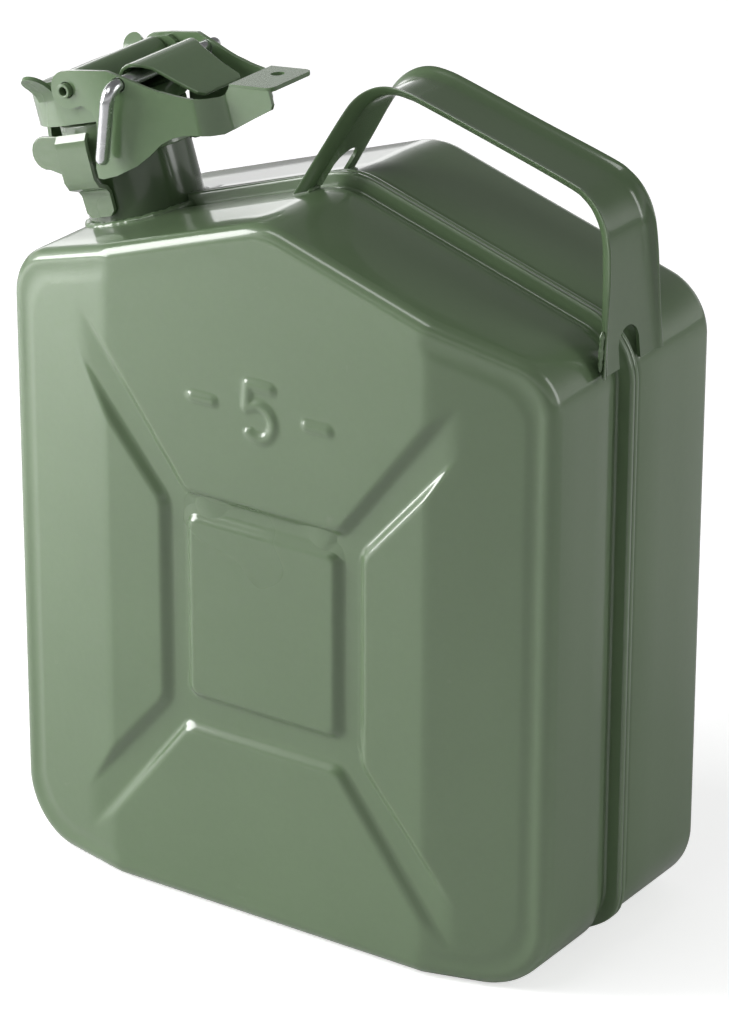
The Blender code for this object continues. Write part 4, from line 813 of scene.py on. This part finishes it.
def zinc_plate():
    """Bright plate: fine mottling varies its tone, its roughness and its height."""
    metal, tree, shader = plain_material("zinc_plate")
    mottle = object_noise(tree, *MOTTLE)
    tree.links.new(toned(tree, mottle, ZINC_DULL, ZINC_BRIGHT), shader.inputs["Base Color"])
    tree.links.new(ranged(tree, mottle, *MOTTLE_ROUGHNESS), shader.inputs["Roughness"])
    tree.links.new(bumped(tree, mottle, MOTTLE_DEPTH), shader.inputs["Normal"])
    shader.inputs["Metallic"].default_value = 1.0
    return metal


def wire_path():
    """Points of the wire's middle line in the closure's frame, with the leg's and the run's directions:
    a straight run, a quarter circle and a leg."""
    down = np.array([-math.sin(LEG_LEAN), 0.0, -math.cos(LEG_LEAN)])
    across = np.array([0.0, -1.0, 0.0])
    corner = np.array([LOCK_U, WIRE_CORNER_Y, LOCK_V])
    hub = corner - across * WIRE_BEND + down * WIRE_BEND
    turn = np.linspace(0, math.pi / 2, BEND_POINTS)[:, None]
    arc = hub + across * WIRE_BEND * np.sin(turn) - down * WIRE_BEND * np.cos(turn)
    straight = np.linspace(np.array([LOCK_U, WIRE_FAR_Y, LOCK_V]), arc[0], STRAIGHT_POINTS)[:-1]
    leg = np.linspace(arc[-1], corner + down * WIRE_LEG, LEG_POINTS)[1:]
    return np.vstack([straight, arc, leg]), down, across


def bent_wire():
    """Circles carried along the path. Over the last stretch at either end their radius follows a sine as
    their distance from the tip follows a cosine, which makes a dome."""
    path, down, across = wire_path()
    run = np.concatenate([[0], np.cumsum(np.linalg.norm(np.diff(path, axis=0), axis=1))])
    swing = np.linspace(DOME_START, math.pi / 2, DOME_RINGS)
    dome = WIRE_RADIUS * np.sin(swing)
    tip = WIRE_RADIUS - WIRE_RADIUS * np.cos(swing)
    length = np.linspace(WIRE_RADIUS + DOME_GAP, run[-1] - WIRE_RADIUS - DOME_GAP, WIRE_RINGS)
    want = np.concatenate([tip, length, run[-1] - tip[::-1]])
    size = np.concatenate([dome, np.full(WIRE_RINGS, WIRE_RADIUS), dome[::-1]])
    path = np.column_stack([np.interp(want, run, path[:, k]) for k in range(3)])
    tangent = np.gradient(path, axis=0)
    tangent /= np.linalg.norm(tangent, axis=1)[:, None]
    third = np.cross(across, down)
    normal = np.cross(tangent, third)
    normal /= np.linalg.norm(normal, axis=1)[:, None]
    around = np.linspace(0, 2 * math.pi, WIRE_ROUND, endpoint=False)[None, :, None]
    tube = path[:, None] + size[:, None, None] * (np.cos(around) * normal[:, None] + np.sin(around) * third)
    tube = from_closure(tube[..., 0], tube[..., 1], tube[..., 2])
    poles = (tuple(tube[0].mean(0)), tuple(tube[-1].mean(0)))
    return grid_mesh("locking_wire", tube, poles=poles, material=zinc_plate())


wire = bent_wire()
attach(wire, "pin_link")
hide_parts("locking_pin")


# Gasket: a black rubber ring pressed into the lid, matt, with a little bloom. Its solid is shown as it
# is, with this material on it.
RUBBER_BLOOM, RUBBER_ROUGHNESS = (240.0, 2.0, 0.5), 0.7
RUBBER_DARK, RUBBER_LIGHT = (0.016, 0.016, 0.017, 1.0), (0.04, 0.04, 0.041, 1.0)
rubber, rubber_tree, rubber_shader = plain_material("gasket_rubber")
rubber_tone = toned(rubber_tree, object_noise(rubber_tree, *RUBBER_BLOOM), RUBBER_DARK, RUBBER_LIGHT)
rubber_tree.links.new(rubber_tone, rubber_shader.inputs["Base Color"])
rubber_shader.inputs["Roughness"].default_value = RUBBER_ROUGHNESS
nodes["lid_gasket"].data.materials.clear()
nodes["lid_gasket"].data.materials.append(rubber)


# Studio floor: a wide pale sheet just under the can, white to the camera away from the can's shadow. The
# white is a glow that only the camera sees, so it lights nothing.
FLOOR_HALF, FLOOR_Z = 6000.0, -0.4
FLOOR_COLOUR, FLOOR_ROUGHNESS, FLOOR_GLOW = (0.80, 0.80, 0.80, 1.0), 0.9, 0.62
WHITE = (1.0, 1.0, 1.0, 1.0)
pale, pale_tree, pale_shader = plain_material("pale_floor")
pale_shader.inputs["Base Color"].default_value = FLOOR_COLOUR
pale_shader.inputs["Roughness"].default_value = FLOOR_ROUGHNESS
pale_shader.inputs["Specular IOR Level"].default_value = 0.0
pale_shader.inputs["Emission Color"].default_value = WHITE
seen = pale_tree.nodes.new("ShaderNodeLightPath")
glow = combined(pale_tree, "MULTIPLY", seen.outputs["Is Camera Ray"], FLOOR_GLOW)
pale_tree.links.new(glow, pale_shader.inputs["Emission Strength"])
corners = [[(x * FLOOR_HALF, y * FLOOR_HALF, FLOOR_Z) for x in (-1, 1)] for y in (-1, 1)]
floor = grid_mesh("floor", np.array(corners), closed_round=False, material=pale)


# Lamps: a soft one close on the left for the bright facet, one at the right for the end wall, one above
# the front for the ridge and the rims, and a low one behind for the roof's rear edge.
# Each has its place, the height over the frame's origin that it points at, its two sides in metres and
# its power in watts.
LAMPS = (
    ("key_lamp", (-0.86, -0.50, 0.46), 0.13, (0.55, 0.7), 13.0),
    ("side_lamp", (1.5, 0.55, 0.75), 0.12, (0.6, 1.1), 6.8),
    ("front_lamp", (-0.22, -0.72, 1.30), 0.22, (0.9, 0.35), 4.0),
    ("back_lamp", (-0.95, 1.10, 0.27), 0.22, (1.1, 0.30), 1.2),
)
for name, place, aim_z, sides, power in LAMPS:
    data = bpy.data.lights.new(name, "AREA")
    data.shape = "RECTANGLE"
    data.size, data.size_y = sides
    data.energy = power
    lamp = linked(name, data)
    lamp.location = place
    lamp.rotation_euler = (Vector((0.0, 0.0, aim_z)) - Vector(place)).to_track_quat("-Z", "Y").to_euler()


# World: bright near the horizon and dim above, so that the gloss shows a bright room with a dark roof.
# Rays from the camera, or sent on through glass, find plain white.
SKY = (0.02, 0.46, 0.80, 0.18)
world = bpy.data.worlds.new("studio")
bpy.context.scene.world = world
world.use_nodes = True
tree = world.node_tree
background = tree.nodes["Background"]
ray = tree.nodes.new("ShaderNodeLightPath")
place = tree.nodes.new("ShaderNodeTexCoord")
split = tree.nodes.new("ShaderNodeSeparateXYZ")
tree.links.new(place.outputs["Generated"], split.inputs[0])
sky = ranged(tree, split.outputs["Z"], *SKY)
sky.node.interpolation_type = "SMOOTHSTEP"
straight_on = combined(tree, "MAXIMUM", ray.outputs["Is Camera Ray"], ray.outputs["Is Transmission Ray"])
tree.links.new(combined(tree, "MAXIMUM", straight_on, sky), background.inputs["Strength"])
background.inputs["Color"].default_value = WHITE
bpy.context.scene.view_settings.view_transform = "Standard"
